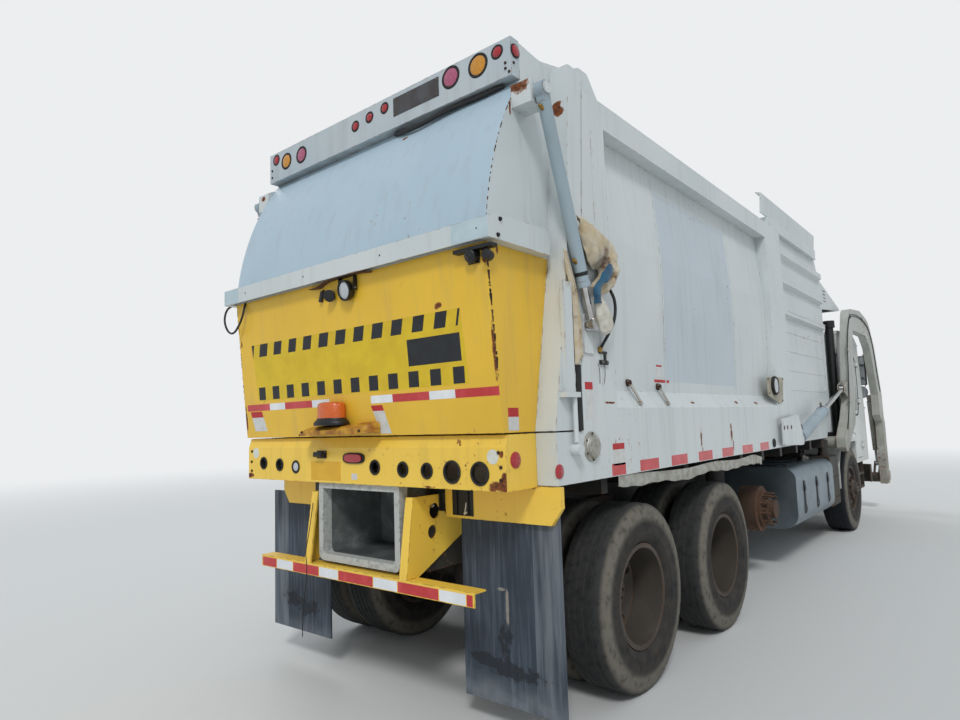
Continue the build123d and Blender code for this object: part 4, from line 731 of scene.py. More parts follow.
def addTyre(bm, middleX, width, outer, look, centre):
    count = look["segments"]
    rings = []
    for r, w in tyreProfile(width, outer, look):
        notch = 3.0 if outer - 55 < r < outer - 8 else 0.0  # shallow bars across the shoulder
        ring = []
        for i in range(count):
            a = tau * i / count
            deep = r - notch * (i % 4 < 1)
            ring.append(bm.verts.new(centre + Vector((middleX + w, deep * cos(a), deep * sin(a)))))
        rings.append(ring)
    joinRings(bm, rings, closed=True)


def makeTyres():
    for word in ("left", "right"):
        for place, tyres in (("front", "front_tyre"), ("rear", "rear_tyres"), ("mid", "mid_tyres")):
            node = f"{tyres}_{word}"
            low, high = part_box(node)
            wide, outer = (high.x - low.x) * 1000, (high.z - low.z) * 500
            middle = middleOf(node)
            bm = bmesh.new()
            each = wide if place == "front" else tyreLook["dualWidth"]
            for way in (0,) if place == "front" else (-1, 1):
                addTyre(bm, way * (wide - each) / 2, each, outer, tyreLook, middle)
            piece = addPiece(f"tyres_{place}_{word}", bm, ["tyreRubber"], node.replace("tyre", "wheel"), smooth=50,
                             origin=middle)
            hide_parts(node)


makeTyres()

wheelTrim = {
    "studRing": 142.9,  # radius of the ring of wheel nuts
    "nuts": 10,
    "nutSize": 19,
    "axleBolts": 8,
    "axleRing": 62,
    "axleBoltSize": 9,
}


# Wheel nuts with the stud's end standing out, and the bolts of the axle shaft's flange
def makeWheelNuts(t):
    for side, word in ((1, "left"), (-1, "right")):
        view = Vector((-side, 0, 0))
        for place, rims in (("front", "front_rim"), ("rear", "rear_rims"), ("mid", "mid_rims")):
            node = f"{rims}_{word}"
            middle = middleOf(node)
            bm = bmesh.new()
            for count, first, ring, size, stud in ((t["nuts"], 0.5, t["studRing"], t["nutSize"], True),
                                                   (t["axleBolts"], 0, t["axleRing"], t["axleBoltSize"], False)):
                for i in range(count):
                    a = tau * (i + first) / count
                    away = Vector((0, cos(a), sin(a)))
                    spot = castOn(node, Vector((side * 2000, middle.y, middle.z)) + away * ring, view)
                    addBolt(bm, spot, (side, 0, 0), size)
                    if stud:
                        addTurned(bm, spot, (side, 0, 0), [(0, 10.5), (30, 10.5), (32, 9)], 12)
            addPiece(f"wheelNuts_{place}_{word}", bm, ["rustyNut"], node.replace("rim", "wheel"), origin=middle)


makeWheelNuts(wheelTrim)
print("stage 4: tyres and wheel nuts")


# Rear end: places as seen from behind, (across, up), in millimetres

rearEnd = {
    "panelY": fromRear(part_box("light_panel")[1]).y,
    "guardY": fromRear(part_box("tailgate_guard")[1]).y,
    "barY": fromRear(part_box("tailgate_light_bar")[1]).y,
    "rackY": fromRear(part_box("underride_bar")[1]).y,
    # red and white reflective tape across the tailgate, from its left edge to its right
    "gateTape": [(1067, 801, "red"), (801, 630, "white"), (630, 346, "red"), (346, 176, "white"),
                 (-193, -369, "white"), (-369, -644, "red"), (-644, -822, "white"), (-822, -1098, "red")],
    "gateTapeZ": (1677, 1720),
    "rackTape": [(893, 735, "red"), (735, 560, "white"), (560, 300, "red"), (300, 120, "white"),
                 (120, -180, "red"), (-180, -372, "white"), (-372, -670, "red"), (-670, -850, "white"),
                 (-850, -893, "red")],
    "rackTapeZ": (684, 738),
}


def makeGateFilms(r):
    bm = bmesh.new()
    low, high = r["gateTapeZ"]
    for x0, x1, colour in r["gateTape"]:
        addFilm(bm, "tailgate_shell", "rear", oblong(x0, x1, low, high), int(colour == "white"), 0.6, (3, 1))
    addPiece("gateTape", bm, ["tapeRed", "tapeWhite"], "tailgate")
    bm = bmesh.new()
    low, high = r["rackTapeZ"]
    for x0, x1, colour in r["rackTape"]:
        addPlate(bm, oblong(x0 - 3, x1 + 3, low, high, r["rackY"]), (0, 0.6, 0), int(colour == "white"))
    addPiece("rackTape", bm, ["tapeRed", "tapeWhite"], "root")


sign = {
    "corners": [(958, 2113), (923, 1742), (-920, 1742), (-901, 2113)],
    "slantTop": [(956, 925), (854, 764), (690, 607), (527, 448), (375, 293), (217, 129), (58, -31), (-105, -190),
                 (-261, -348), (-418, -500), (-579, -660), (-737, -817), (-887, -901)],
    "topZ": (2030, 2112),
    "ends": (950, -908),  # the outermost bars are cut off here
    "bottomFirst": 913,
    "bottomPitch": 157.4,
    "bottomCount": 12,
    "bottomWide": 75,
    "bottomZ": (1747, 1830),
    "slant": 22,                       # how far a bar of the top row leans
    "blank": oblong(-515, -885, 1857, 1996),  # dark field, left without words
}


# Caution board: printed film with slanted bars above, upright bars below and one dark field
def makeSign(s):
    bm = bmesh.new()
    addFilm(bm, "tailgate_shell", "rear", s["corners"], 0, 0.5, (1, 6))
    low, high = s["topZ"]
    left, right = s["ends"]
    for x0, x1 in s["slantTop"]:
        foot = left if x0 > left else x0 + s["slant"]
        corners = [(foot, low), (max(x1 + s["slant"], right), low), (x1, high), (x0, high)]
        addFilm(bm, "tailgate_shell", "rear", corners, 1, 0.9, (1, 2))
    low, high = s["bottomZ"]
    for i in range(s["bottomCount"]):
        x0 = s["bottomFirst"] - i * s["bottomPitch"]
        addFilm(bm, "tailgate_shell", "rear", [(x0, low), (x0 - s["bottomWide"], low),
                                               (x0 - s["bottomWide"] - 3, high), (x0 - 3, high)], 1, 0.9, (1, 2))
    addFilm(bm, "tailgate_shell", "rear", s["blank"], 1, 0.9, (1, 2))
    addPiece("cautionBoard", bm, ["signYellow", "signBlack"], "tailgate")


labels = {
    # blank labels with a red strip on top: node, view, four corners from the lower left, share of the strip
    "gateLeft": ("tailgate_shell", "rear", [(992, 1543), (850, 1543), (900, 1672), (1034, 1672)], 0.3),
    "gateRight": ("tailgate_shell", "rear", [(-255, 1510), (-339, 1510), (-281, 1666), (-188, 1666)], 0.2),
    "bodyLow": ("body_shell", "right", oblong(192, 329, 1293, 1414), 0.28),
    "bodyRear": ("body_shell", "right", oblong(517, 596, 1549, 1748), 0.2),
    "bodyMid": ("body_shell", "right", oblong(-517, -433, 1812, 1893), 0.15),
    "bodyMidRed": ("body_shell", "right", oblong(-631, -400, 1778, 1797), 1.0),
    "gateSide": ("tailgate_shell", "right", oblong(1027, 1110, 1510, 1618), 0.4),
}


def makeLabels():
    for body, carrier in (("tailgate", "tailgate_shell"), ("root", "body_shell")):
        bm = bmesh.new()
        for node, view, corners, share in labels.values():
            if node != carrier:
                continue
            a, b, c, d = [Vector(p) for p in corners]
            if share < 1:
                addFilm(bm, node, view, [a, b, b.lerp(c, 1 - share), a.lerp(d, 1 - share)], 0, 0.6, (1, 2))
            addFilm(bm, node, view, [a.lerp(d, 1 - share), b.lerp(c, 1 - share), c, d], 1, 0.6, (1, 2))
        addPiece(f"blankLabels_{body}", bm, ["labelWhite", "labelRed"], body)


seamRust = {"x": 1100, "upper": (2520, 3290, 30), "lower": (1745, 2385, 44)}


# Flakes of rust and black sealant along the tailgate's right edge, where its skin meets the side plate
def makeSeamRust(t):
    bm = bmesh.new()
    for (low, high, count), wide in ((t["upper"], 5), (t["lower"], 11)):
        for k in range(count):
            z = low + (high - low) * (k + draws.uniform(0, 1.6)) / count
            tall, reach = 5 + 34 * draws.random() ** 2.2, draws.uniform(0.15, 1.0) * wide
            ends = [seenOn("tailgate_shell", "rear", 12 - t["x"], up) for up in (z, z + tall)]
            slot = 1 if draws.random() < 0.3 and wide > 6 else 0
            for side in (-1, 1) if wide > 6 else (-1,):
                if side > 0 and k % 3:
                    continue
                a, b = [Vector((side * (t["x"] + 0.2), p.y, p.z)) for p in ends]
                lean = draws.uniform(-3, 3)
                addPlate(bm, [a + Vector((0, 0.6, 0)), b + Vector((0, 0.6, 0)), b + Vector((0, -reach, -lean)),
                              a + Vector((0, -0.7 * reach, lean))], (side * 0.7, 0, 0), slot)
                inner = side * -0.8 * reach
                addPlate(bm, [a + Vector((0, 0.2, 0)), b + Vector((0, 0.2, 0)), b + Vector((inner, 0.2, -lean)),
                              a + Vector((inner * 0.6, 0.2, lean))], (0, 0.8, 0), slot)
    addPiece("seamRust", bm, ["rustySteel", "mouldedRubber"], "tailgate")


makeSeamRust(seamRust)
makeGateFilms(rearEnd)
makeSign(sign)
makeLabels()

lampRow = {
    # across, up, radius of the hole, and what is left in it
    "round": [(917, 1333, 34, "dead"), (733, 1325, 34, "dead"), (558, 1315, 34, "clear"), (-185, 1325, 36, "open"),
              (-408, 1318, 36, "open"), (-586, 1314, 36, "open"), (-760, 1312, 52, "open"), (-940, 1308, 52, "open")],
    "oval": (-7, 1374, 94, 31),
    "plateLamp": (292, 1390),
    "tag": (-32, 18, 1252, 1286),
    "patch": (117, 400, 1240, 1352),
    "stickers": [(1010, 1398), (-1022, 1389)],
    "bolts": [(1058, 1409), (1062, 1340), (1060, 1280), (-1058, 1409), (-1070, 1340), (-1068, 1280)],
}


# Rubber grommet in a round hole, seen from behind; lip is how far its rim laps over the plate
def addGrommet(bm, x, z, y, radius, lip=7):
    profile = [(2, radius + lip), (6, radius + lip - 1.5), (8, radius + 1), (5, radius - 5), (-14, radius - 6),
               (-14, radius - 0.5), (0.2, radius - 0.5), (0.2, radius + lip)]
    addTurned(bm, (x, y, z), (0, 1, 0), profile, 40, closed=True)


def makeLampRow(p, r):
    y = r["panelY"]
    rubber, glass, dead = bmesh.new(), bmesh.new(), bmesh.new()
    for x, z, radius, kind in p["round"]:
        addGrommet(rubber, x, z, y, radius)
        inner = radius - 6
        if kind == "clear":
            addTurned(glass, (x, y, z), (0, 1, 0), [(-12, inner), (2, inner), (5, inner * 0.8), (6, inner * 0.4),
                                                    (6.3, 1)], 36)
        if kind == "dead":
            addTurned(dead, (x, y, z), (0, 1, 0), [(-30, inner), (-26, inner), (-20, inner * 0.9), (-16, inner * 0.5),
                                                   (-15, 2)], 32)
            for k in range(3):
                a = 0.8 + 2.1 * k
                addTube(dead, smoothLine([(x, y - 20, z), (x + 14 * cos(a), y - 4, z + 14 * sin(a)),
                                          (x + 22 * cos(a + 1.2), y - 14, z + 22 * sin(a + 1.2)),
                                          (x + 12 * cos(a + 2), y - 34, z + 12 * sin(a + 2))], 14), 1.6, 6, 1)
    x, z, wide, high = p["oval"]
    square = []
    for i in range(48):
        a, b = cos(tau * i / 48), sin(tau * i / 48)
        square.append((copysign(abs(a) ** 0.6, a) * wide, copysign(abs(b) ** 0.75, b) * high))
    for scale, depth, lift, target, slot in ((1.0, 9, 0, rubber, 0), (0.8, 8, 8, glass, 1)):
        ring = [(x + a * scale, y + lift, z + b * (scale if slot == 0 else scale - 0.04)) for a, b in square]
        addPlate(target, ring, (0, depth, 0), slot)
    piece = addPiece("lampGrommets", rubber, ["mouldedRubber"], "root", rounding=1.5, smooth=50)
    addPiece("panelLenses", glass, ["clearLens", "redLens"], "root", rounding=2.5, smooth=50)
    addPiece("deadLamps", dead, ["blackPlastic", "mouldedRubber"], "root")
    bm = bmesh.new()
    x, z = p["plateLamp"]
    hood = [(x + 40, y, z - 14), (x - 40, y, z - 14), (x - 40, y + 34, z - 12), (x - 34, y + 42, z - 2),
            (x + 34, y + 42, z - 2), (x + 40, y + 34, z - 12)]
    addPlate(bm, hood, (0, -4, 22))
    addBlock(bm, (x - 46, y, z - 20), (x + 46, y + 5, z + 26))
    for way in (-1, 1):
        addBolt(bm, (x + way * 38, y + 5, z + 16), (0, 1, 0), 5, 1)
    addPiece("plateLamp", bm, ["blackPlastic", "zincPlate"], "root", rounding=2)
    bm = bmesh.new()
    addPlate(bm, oblong(*p["tag"], y), (0, 0.5, 0))
    addPlate(bm, oblong(*p["patch"], y), (0, 1.2, 0), 1)
    for x, z in p["stickers"]:
        addTurned(bm, (x, y, z), (0, 1, 0), [(0, 35), (1, 35), (1.2, 33)], 40, 2)
    addPiece("panelFilms", bm, ["labelWhite", "patchYellow", "stickerPale"], "root")
    bm = bmesh.new()
    for x, z in p["bolts"]:
        addBolt(bm, (x, y, z), (0, 1, 0), 9)
    addPiece("panelBolts", bm, ["rustyNut"], "root")


makeLampRow(lampRow, rearEnd)
print("stage 5: rear films, sign and lamps")

beacon = {
    "middle": (112, 1205),  # x and y of the dome
    "foot": 1603,
    "domeR": 100,
    "domeHigh": 96,
    "baseR": 124,
    "flutes": 30,
    "flatten": 0.68,  # the dome is as deep as this share of its width
    "shelf": [(386, 1508), (372, 1536), (300, 1560), (130, 1564), (-30, 1566), (-180, 1580), (-246, 1572),
              (-252, 1530), (-225, 1517), (60, 1522), (250, 1512)],
    "shelfMiddle": (67, 1541),
    "shelfY": (1157, 1262),
    "shelfBolts": (320, -200),
}


# Amber beacon with a ribbed lens on a bent, rusting shelf
def makeBeacon(b):
    x, y = b["middle"]
    z, r, h = b["foot"], b["domeR"], b["domeHigh"]
    bm = bmesh.new()
    rings = [(0, r), (h * 0.82, r * 0.97), (h * 0.93, r * 0.9), (h * 0.985, r * 0.75), (h, r * 0.4), (h, 1)]
    count = 4 * b["flutes"]
    rows = []
    for up, radius in rings:
        row = []
        for i in range(count):
            a = tau * i / count
            fluted = radius - (1.6 if i % 4 < 2 and up < h * 0.9 else 0)
            row.append(bm.verts.new(Vector((x + fluted * cos(a), y + fluted * sin(a) * b["flatten"], z + up))))
        rows.append(row)
    joinRings(bm, rows)
    addPiece("beaconLens", bm, ["orangeLens"], "tailgate", smooth=60)
    bm = bmesh.new()
    rows = []
    turns = [tau * i / 64 for i in range(64)]
    for up, radius in [(-39, b["baseR"]), (-30, b["baseR"] + 3), (-14, b["baseR"] - 4), (-6, r + 6), (3, r + 3)]:
        rows.append([bm.verts.new(Vector((x + radius * cos(a), y + radius * sin(a) * b["flatten"], z + up)))
                     for a in turns])
    joinRings(bm, rows)
    addTurned(bm, (x + 70, y + 62, z - 26), (0, 1, 0), [(0, 5), (10, 5)], 12)
    addPiece("beaconBase", bm, ["blackPlastic"], "tailgate", smooth=50)
    bm = bmesh.new()
    outline = smoothLine([(a, 0, c) for a, c in b["shelf"] + b["shelf"][:1]], 66)[:-1]
    (back, edge), (midX, midZ) = b["shelfY"], b["shelfMiddle"]
    rows = []
    for share in (0, 0.3, 0.62, 0.86, 1):  # narrower and lower towards its edge
        drop = -16 * share ** 3
        squeeze = 1 - 0.16 * share ** 4
        rows.append([bm.verts.new(Vector((midX + (p.x - midX) * squeeze, back + (edge - back) * share,
                                          midZ + (p.z - midZ) * (1 - 0.45 * share ** 2) + drop))) for p in outline])
    joinRings(bm, rows)
    for across in b["shelfBolts"]:
        addBolt(bm, (across, edge, 1528), (0, 0.6, 1), 9, 1)
    addPiece("beaconShelf", bm, ["rustyYellow", "rustyNut"], "tailgate", rounding=1.5, smooth=45)


makeBeacon(beacon)

topBar = {
    # lamps of the upper bar: x, z, radius, lens
    "lamps": [(1020, 3489, 34, "redLens"), (896, 3446, 50, "amberLens"), (717, 3440, 50, "pinkLens"),
              (139, 3456, 31, "redLens"), (3, 3470, 31, "redLens"), (-136, 3482, 31, "redLens"),
              (-681, 3472, 56, "pinkLens"), (-878, 3464, 58, "amberLens"), (-1010, 3486, 34, "redLens")],
    "side": (35, 3470),  # lamp on the right end: ahead of the bar's rear face, and height
    "plate": (-215, -590, 3398, 3512),
    "plateBolts": [(-230, 3410), (-230, 3500), (-575, 3410), (-575, 3500)],
    "bolts": [(-1062, 3405), (-1062, 3375), (-1085, 3350), (1070, 3420), (1070, 3370)],
    "endBolts": (3400, 3440),
}


def makeTopBar(t, r):
    y = r["barY"]
    rubber = bmesh.new()
    glass = bmesh.new()
    names = ["redLens", "amberLens", "pinkLens"]
    for x, z, radius, lensName in t["lamps"]:
        addGrommet(rubber, x, z, y - 4, radius, 11 if radius > 40 else 7)
        addTurned(glass, (x, y - 4, z), (0, 1, 0), [(-3, radius - 6), (6, radius - 6), (9, radius * 0.7),
                                                    (10.5, radius * 0.35), (11, 1)], 36, names.index(lensName))
    ahead, z = t["side"]
    side = seenOn("tailgate_light_bar", "right", y - ahead, z)
    addTurned(glass, side, (-1, 0, 0), [(0, 30), (8, 30), (11, 20), (12, 1)], 32)
    addTurned(rubber, side, (-1, 0, 0), [(0, 38), (5, 37), (6, 31), (0, 31)], 32, closed=True)
    addPiece("topGrommets", rubber, ["mouldedRubber"], "tailgate", smooth=50)
    addPiece("topLenses", glass, names, "tailgate", smooth=50)
    bm = bmesh.new()
    addPlate(bm, oblong(*t["plate"], y), (0, 2.5, 0))
    for x, z in t["plateBolts"]:
        addBolt(bm, (x, y + 2.5, z), (0, 1, 0), 6, 1)
    addPiece("barePlate", bm, ["plateGrey", "zincPlate"], "tailgate", rounding=1)
    bm = bmesh.new()
    for x, z in t["bolts"]:
        addBolt(bm, (x, y, z), (0, 1, 0), 8)
    for z in t["endBolts"]:
        addBolt(bm, seenOn("tailgate_light_bar", "right", y - 20, z), (-1, 0, 0), 8)
    addPiece("barBolts", bm, ["rustyNut"], "tailgate")


makeTopBar(topBar, rearEnd)

guardTrim = {
    "endBolts": ((90, 2500), (70, 2420)),  # ahead of the guard's rear face, and height
    "bolts": (-1090, -420, 260, 900),
    "boltsZ": 2452,
    "patches": ((-1158, -930), (985, 1158)),
    "patchZ": (2402, 2498),
    "work": (-99, 1214, 2326),  # back of the work light's cup
    "workBar": [(248, 1238, 2378), (150, 1258, 2372), (60, 1266, 2392), (-60, 1264, 2399), (-210, 1262, 2399),
                (-296, 1238, 2392)],
    "barBolt": (-40, 1270, 2396),
    "oldLamp": (60, 1234, 2318),
    "junction": [(130, 2360), (158, 2352), (176, 2292), (150, 2288)],
    "junctionY": 1230,
    "camera": (-1040, 1222, 2340),
}


def makeGuardTrim(g, r):
    y = r["guardY"]
    bm = bmesh.new()
    for side, word in sides:
        for back, up in g["endBolts"]:
            addBolt(bm, seenOn("tailgate_guard", word, y - back, up), (side, 0, 0), 11)
    for x in g["bolts"]:
        addBolt(bm, (x, y - 5, g["boltsZ"]), (0, 1, 0), 7)
    addPiece("guardBolts", bm, ["blackBolt"], "tailgate")
    bm = bmesh.new()
    for ends in g["patches"]:
        addPlate(bm, oblong(*ends, *g["patchZ"], y), (0, 0.8, 0))
    addPiece("guardPatches", bm, ["bluePrimer"], "tailgate")
    # work light: die-cast cup on a fork, under a bent flat bar
    x, y, z = g["work"]
    bm = bmesh.new()
    for slot, segments, profile in ((0, 40, [(0, 20), (4, 38), (30, 56), (56, 60), (62, 58), (62, 52), (52, 50)]),
                                    (1, 36, [(50, 50), (54, 49), (58, 40), (60, 20), (60.5, 1)])):
        addTurned(bm, (x, y, z), (0.1, 1, -0.18), profile, segments, slot)
    for way in (-1, 1):
        addPlate(bm, [(x + way * 63, y + 18, z - 12), (x + way * 63, y + 50, z - 14), (x + way * 63, y + 46, z + 74),
                      (x + way * 63, y + 16, z + 74)], (way * 4, 0, 0))
        addBolt(bm, (x + way * 67, y + 32, z), (way, 0, 0), 8, 2)
    addBlock(bm, (x - 67, y + 16, z + 70), (x + 67, y + 46, z + 75))
    addPiece("workLight", bm, ["blackPlastic", "clearLens", "zincPlate"], "tailgate", rounding=1.5, smooth=50)
    bm = bmesh.new()
    line = smoothLine(g["workBar"], 40)
    rows = []
    for p, ahead in zip(line, headings(line)):
        up = Vector((0, 0, 1)) - ahead * ahead.z
        up.normalize()
        out = ahead.cross(up)
        rows.append([bm.verts.new(p + up * a - out * b) for a, b in ((-2, -19), (2, -19), (2, 19), (-2, 19))])
    joinRings(bm, rows)
    addBolt(bm, g["barBolt"], (0, 0, -1), 10, 1)
    addPiece("workLightBar", bm, ["rustySteel", "rustyNut"], "tailgate", rounding=1)
    # second lamp and its junction, knocked sideways
    bm = bmesh.new()
    addTurned(bm, g["oldLamp"], (-0.45, 0.85, -0.3), [(0, 18), (26, 34), (40, 36), (44, 30)], 28)
    addPlate(bm, [(a, g["junctionY"], b) for a, b in g["junction"]], (0, 14, 0))
    addPiece("oldWorkLight", bm, ["blackPlastic"], "tailgate", rounding=2)
    # rear-view camera in a hood on a bracket, with its junction box
    x, y, z = g["camera"]
    bm = bmesh.new()
    addBlock(bm, (x - 118, y, z + 22), (x + 118, y + 50, z + 40))
    for slot, segments, profile in ((0, 32, [(-52, 30), (-46, 36), (-6, 36), (0, 31), (2, 18), (3, 17)]),
                                    (1, 24, [(0, 15), (4, 14), (7, 9), (8, 1)])):
        addTurned(bm, (x + 20, y + 46, z - 6), (0.15, 1, -0.35), profile, segments, slot)
    addPlate(bm, [(x - 18, y + 4, z + 26), (x + 60, y + 4, z + 26), (x + 56, y + 4, z - 34), (x - 14, y + 4, z - 34)],
             (0, 5, 0))
    addTurned(bm, (x - 84, y + 40, z - 10), (-0.3, 1, 0.1), [(-40, 20), (-36, 25), (4, 25), (8, 20)], 28)
    addPiece("rearCamera", bm, ["blackPlastic", "darkGlass"], "tailgate", rounding=2, smooth=50)


makeGuardTrim(guardTrim, rearEnd)
print("stage 6: beacon, upper bar and guard")

bodySide = {
    "tape": [(347, 187), (5, -251), (-443, -699), (-900, -1161), (-1365, -1608), (-1827, -2084), (-2295, -2536)],
    "tapeZ": (1239, 1304),
    "levers": [((-18, 1764), (-55, 1638)), ((-440, 1749), (-449, 1637))],
    "cap": (559, 1410, 78),
    "plug": (-2693, 1287, 40),
    "seams": (400, -577, -1989),  # upright sheet joints of the set-in panel
    "seamZ": (1735, 3180),
    "hopperSeams": (2640, 2424, 2214, 2007, 1797),
    "hopperEnds": (-3830, -5555),
    "hopperLaps": (-3830, -5560),
    "hopperLapZ": (1760, 2540),
    # rubbing strip below the body: out from the truck's middle, along and up
    "strip": [(1208, 264, 1222), (1212, -200, 1200), (1216, -700, 1186), (1214, -1200, 1196), (1217, -1700, 1180),
              (1212, -2100, 1192), (1202, -2360, 1160)],
}


# What is on the body's sides, repeated on the left
def makeBodySides(b):
    for side, word in sides:
        bm = bmesh.new()
        for y0, y1 in b["tape"]:
            addFilm(bm, "body_shell", word, oblong(y0, y1, *b["tapeZ"]), 0, 0.6, (2, 1))
        addPiece(f"sideTape_{word}", bm, ["tapeRed"], "root")
        # over-centre levers of the side door, on their brackets
        bm = bmesh.new()
        for high, low in b["levers"]:
            top, foot = seenOn("body_shell", word, *high), seenOn("body_shell", word, *low)
            out = Vector((side, 0, 0))
            lean = (foot - top).normalized()
            wide = lean.cross(out).normalized()
            a, c = top + out * 14, foot + out * 16
            addPlate(bm, [a - wide * 15, a + wide * 15, c + wide * 10, c - wide * 10], out * 7, 0)
            addPlate(bm, [a - wide * 15, a + wide * 15, a + wide * 13 - lean * 20, a - wide * 13 - lean * 20],
                     out * 7, 0)
            addTurned(bm, top, (side, 0, 0), [(-6, 22), (12, 22), (14, 16), (24, 16), (26, 12)], 20, 1)
            addTurned(bm, foot, (side, 0, 0), [(-6, 12), (22, 12), (25, 10)], 16)
        addPiece(f"doorLevers_{word}", bm, ["armEnamel", "rustyNut"], "root", rounding=1.5)
        # filler cap on the rear post, and a rubber plug
        bm = bmesh.new()
        y, z, r = b["cap"]
        spot = seenOn("body_shell", word, y, z)
        addTurned(bm, spot, (side, 0, 0), [(-1, r), (6, r), (9, r - 4), (9, r - 16), (14, r - 20), (24, r - 21),
                                           (27, r - 26), (27, r - 40), (24, r - 44), (23, 1)], 48)
        for i in range(6):
            a = tau * (i + 0.5) / 6
            addBolt(bm, spot + Vector((side * 9, (r - 10) * cos(a), (r - 10) * sin(a))), (side, 0, 0), 6, 1)
        addPiece(f"fillerCap_{word}", bm, ["dirtyAluminium", "rustyNut"], "root", rounding=1)
        bm = bmesh.new()
        y, z, r = b["plug"]
        spot = seenOn("body_shell", word, y, z)
        addTurned(bm, spot, (side, 0, 0), [(-1, r), (6, r), (10, r - 4), (10, r - 10), (4, r - 14), (3, 1)], 32)
        addPiece(f"rubberPlug_{word}", bm, ["mouldedRubber"], "root")
        # narrow lap of each upright sheet joint in the set-in panel
        bm = bmesh.new()
        for y in b["seams"]:
            addFilm(bm, "body_shell", word, oblong(y - 9, y + 9, *b["seamZ"]), 0, 2.2, (1, 24))
        addPiece(f"sheetLaps_{word}", bm, ["bodyEnamel"], "root")
        # welded seams between the hopper's side sheets
        bm = bmesh.new()
        for z in b["hopperSeams"]:
            addFilm(bm, "hopper_shell", word, oblong(*b["hopperEnds"], z - 5, z + 5), 0, 3, (6, 1))
        for y in b["hopperLaps"]:
            addFilm(bm, "hopper_shell", word, oblong(y - 20, y + 20, *b["hopperLapZ"]), 0, 5, (1, 6))
        addPiece(f"hopperSeams_{word}", bm, ["bodyEnamel"], "root", rounding=1)
        # bent rubbing strip that hangs below the body
        bm = bmesh.new()
        rows = []
        for i, p in enumerate(smoothLine([(side * x, y, z) for x, y, z in b["strip"]], 60)):
            deep = 46 + 7 * sin(i * 0.41) + 4 * sin(i * 1.3)
            sway = 5 * sin(i * 0.29)
            section = ((0, 0, 22), (side * 4, 0, 20), (side * (6 + sway), 0, -deep / 2), (side * (2 + sway), 0, -deep),
                       (side * (-1 + sway), 0, -deep), (side * (2 + sway), 0, -deep / 2))
            rows.append([bm.verts.new(p + Vector(v)) for v in section])
        joinRings(bm, rows)
        addPiece(f"rubbingStrip_{word}", bm, ["dirtyAluminium"], "root", smooth=60)


makeBodySides(bodySide)

sideFront = {
    "plate": [(-2600, 1880), (-3130, 1895), (-3070, 1660), (-2960, 1640), (-2610, 1720)],
    "plateX": (1222, 1228),  # back and face of the lamp's plate, out from the truck's middle
    "bolts": [(-2625, 1865), (-3105, 1878), (-3050, 1672), (-2640, 1735)],
    "lamp": (-2800, 1808, 76),
    "slots": [(-2868, 1418), (-2975, 1418), (-3108, 1418)],
}


# Lamp plates on the front posts, as on the right side of the photograph
def makePostLamps(s):
    back, face = s["plateX"]
    for side, word in sides:
        out = Vector((side, 0, 0))
        bm = bmesh.new()
        addPlate(bm, [(side * back, y, z) for y, z in s["plate"]], out * (face - back))
        y, z, r = s["lamp"]
        centre = Vector((side * face, y, z))
        addTurned(bm, centre, out, [(0, r + 12), (20, r + 12), (26, r + 6), (28, r - 2), (22, r - 4)], 48, 1)
        addTurned(bm, centre, out, [(18, r - 6), (24, r - 10), (29, r * 0.6), (31, r * 0.3), (31.5, 1)], 40, 2)
        for y, z in s["bolts"]:
            addBolt(bm, (side * face, y, z), out, 8, 3)
        addPiece(f"postLamp_{word}", bm, ["dustySteel", "mouldedRubber", "clearLens", "rustyNut"], "root",
                 rounding=1.5)
        bm = bmesh.new()
        for y, z in s["slots"]:
            spot = seenOn("hopper_shell", word, y, z)
            addTurned(bm, spot, out, [(-0.5, 20), (1.5, 20), (1.5, 13), (-0.5, 13)], 24, closed=True)
            addTurned(bm, spot, out, [(-0.5, 13), (0.6, 13)], 24, 1)
        addPiece(f"bracketSlots_{word}", bm, ["rustySteel", "blackPlastic"], "root")


makePostLamps(sideFront)
print("stage 7: body sides")


# Hoses, cables and cloths

def addCordPiece(name, points, diameter, finish, body):
    data = bpy.data.curves.new(name, "CURVE")
    data.dimensions = "3D"
    data.bevel_depth = diameter / 2000
    data.bevel_resolution = 3
    data.resolution_u = 10
    data.use_fill_caps = True
    spline = data.splines.new("NURBS")
    spline.points.add(len(points) - 1)
    for spot, place in zip(spline.points, points):
        spot.co = (*at(*place), 1)
    spline.order_u = 3
    spline.use_endpoint_u = True
    data.materials.append(materials[finish])
    piece = bpy.data.objects.new(name, data)
    bpy.context.scene.collection.objects.link(piece)
    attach(piece, body)


cords = {
    # name: body, finish, diameter mm, length m, points from the exit on
    "guardLoop": ("tailgate", "hoseRubber", 14, 0.60,
                  [(986, 1236, 2402), (982, 1248, 2372), (980, 1256, 2328), (1012, 1262, 2262), (1090, 1262, 2200),
                   (1170, 1260, 2226), (1224, 1256, 2300), (1226, 1248, 2364), (1196, 1240, 2402), (1150, 1234, 2408)]),
    "ramHose": ("root", "hoseRubber", 17, 0.40,
                [(-1262, 372, 2280), (-1284, 352, 2236), (-1291, 344, 2160), (-1286, 362, 2078), (-1262, 396, 2004),
                 (-1238, 424, 1950), (-1222, 432, 1914)]),
    "barHose": ("tailgate", "hoseRubber", 26, 0.86,
                [(-180, 926, 3316), (-214, 946, 3304), (-320, 966, 3282), (-430, 968, 3280), (-560, 956, 3300),
                 (-700, 948, 3312), (-860, 946, 3306), (-985, 942, 3312), (-1010, 926, 3318)]),
    "clampWireRear": ("root", "hoseRubber", 3, 0.11, [(-1222, 446, 1850), (-1229, 447, 1828), (-1226, 442, 1770),
                                                      (-1221, 436, 1742)]),
    "clampWireFore": ("root", "hoseRubber", 3, 0.11, [(-1222, 384, 1850), (-1230, 385, 1826), (-1227, 388, 1768),
                                                      (-1221, 392, 1742)]),
}


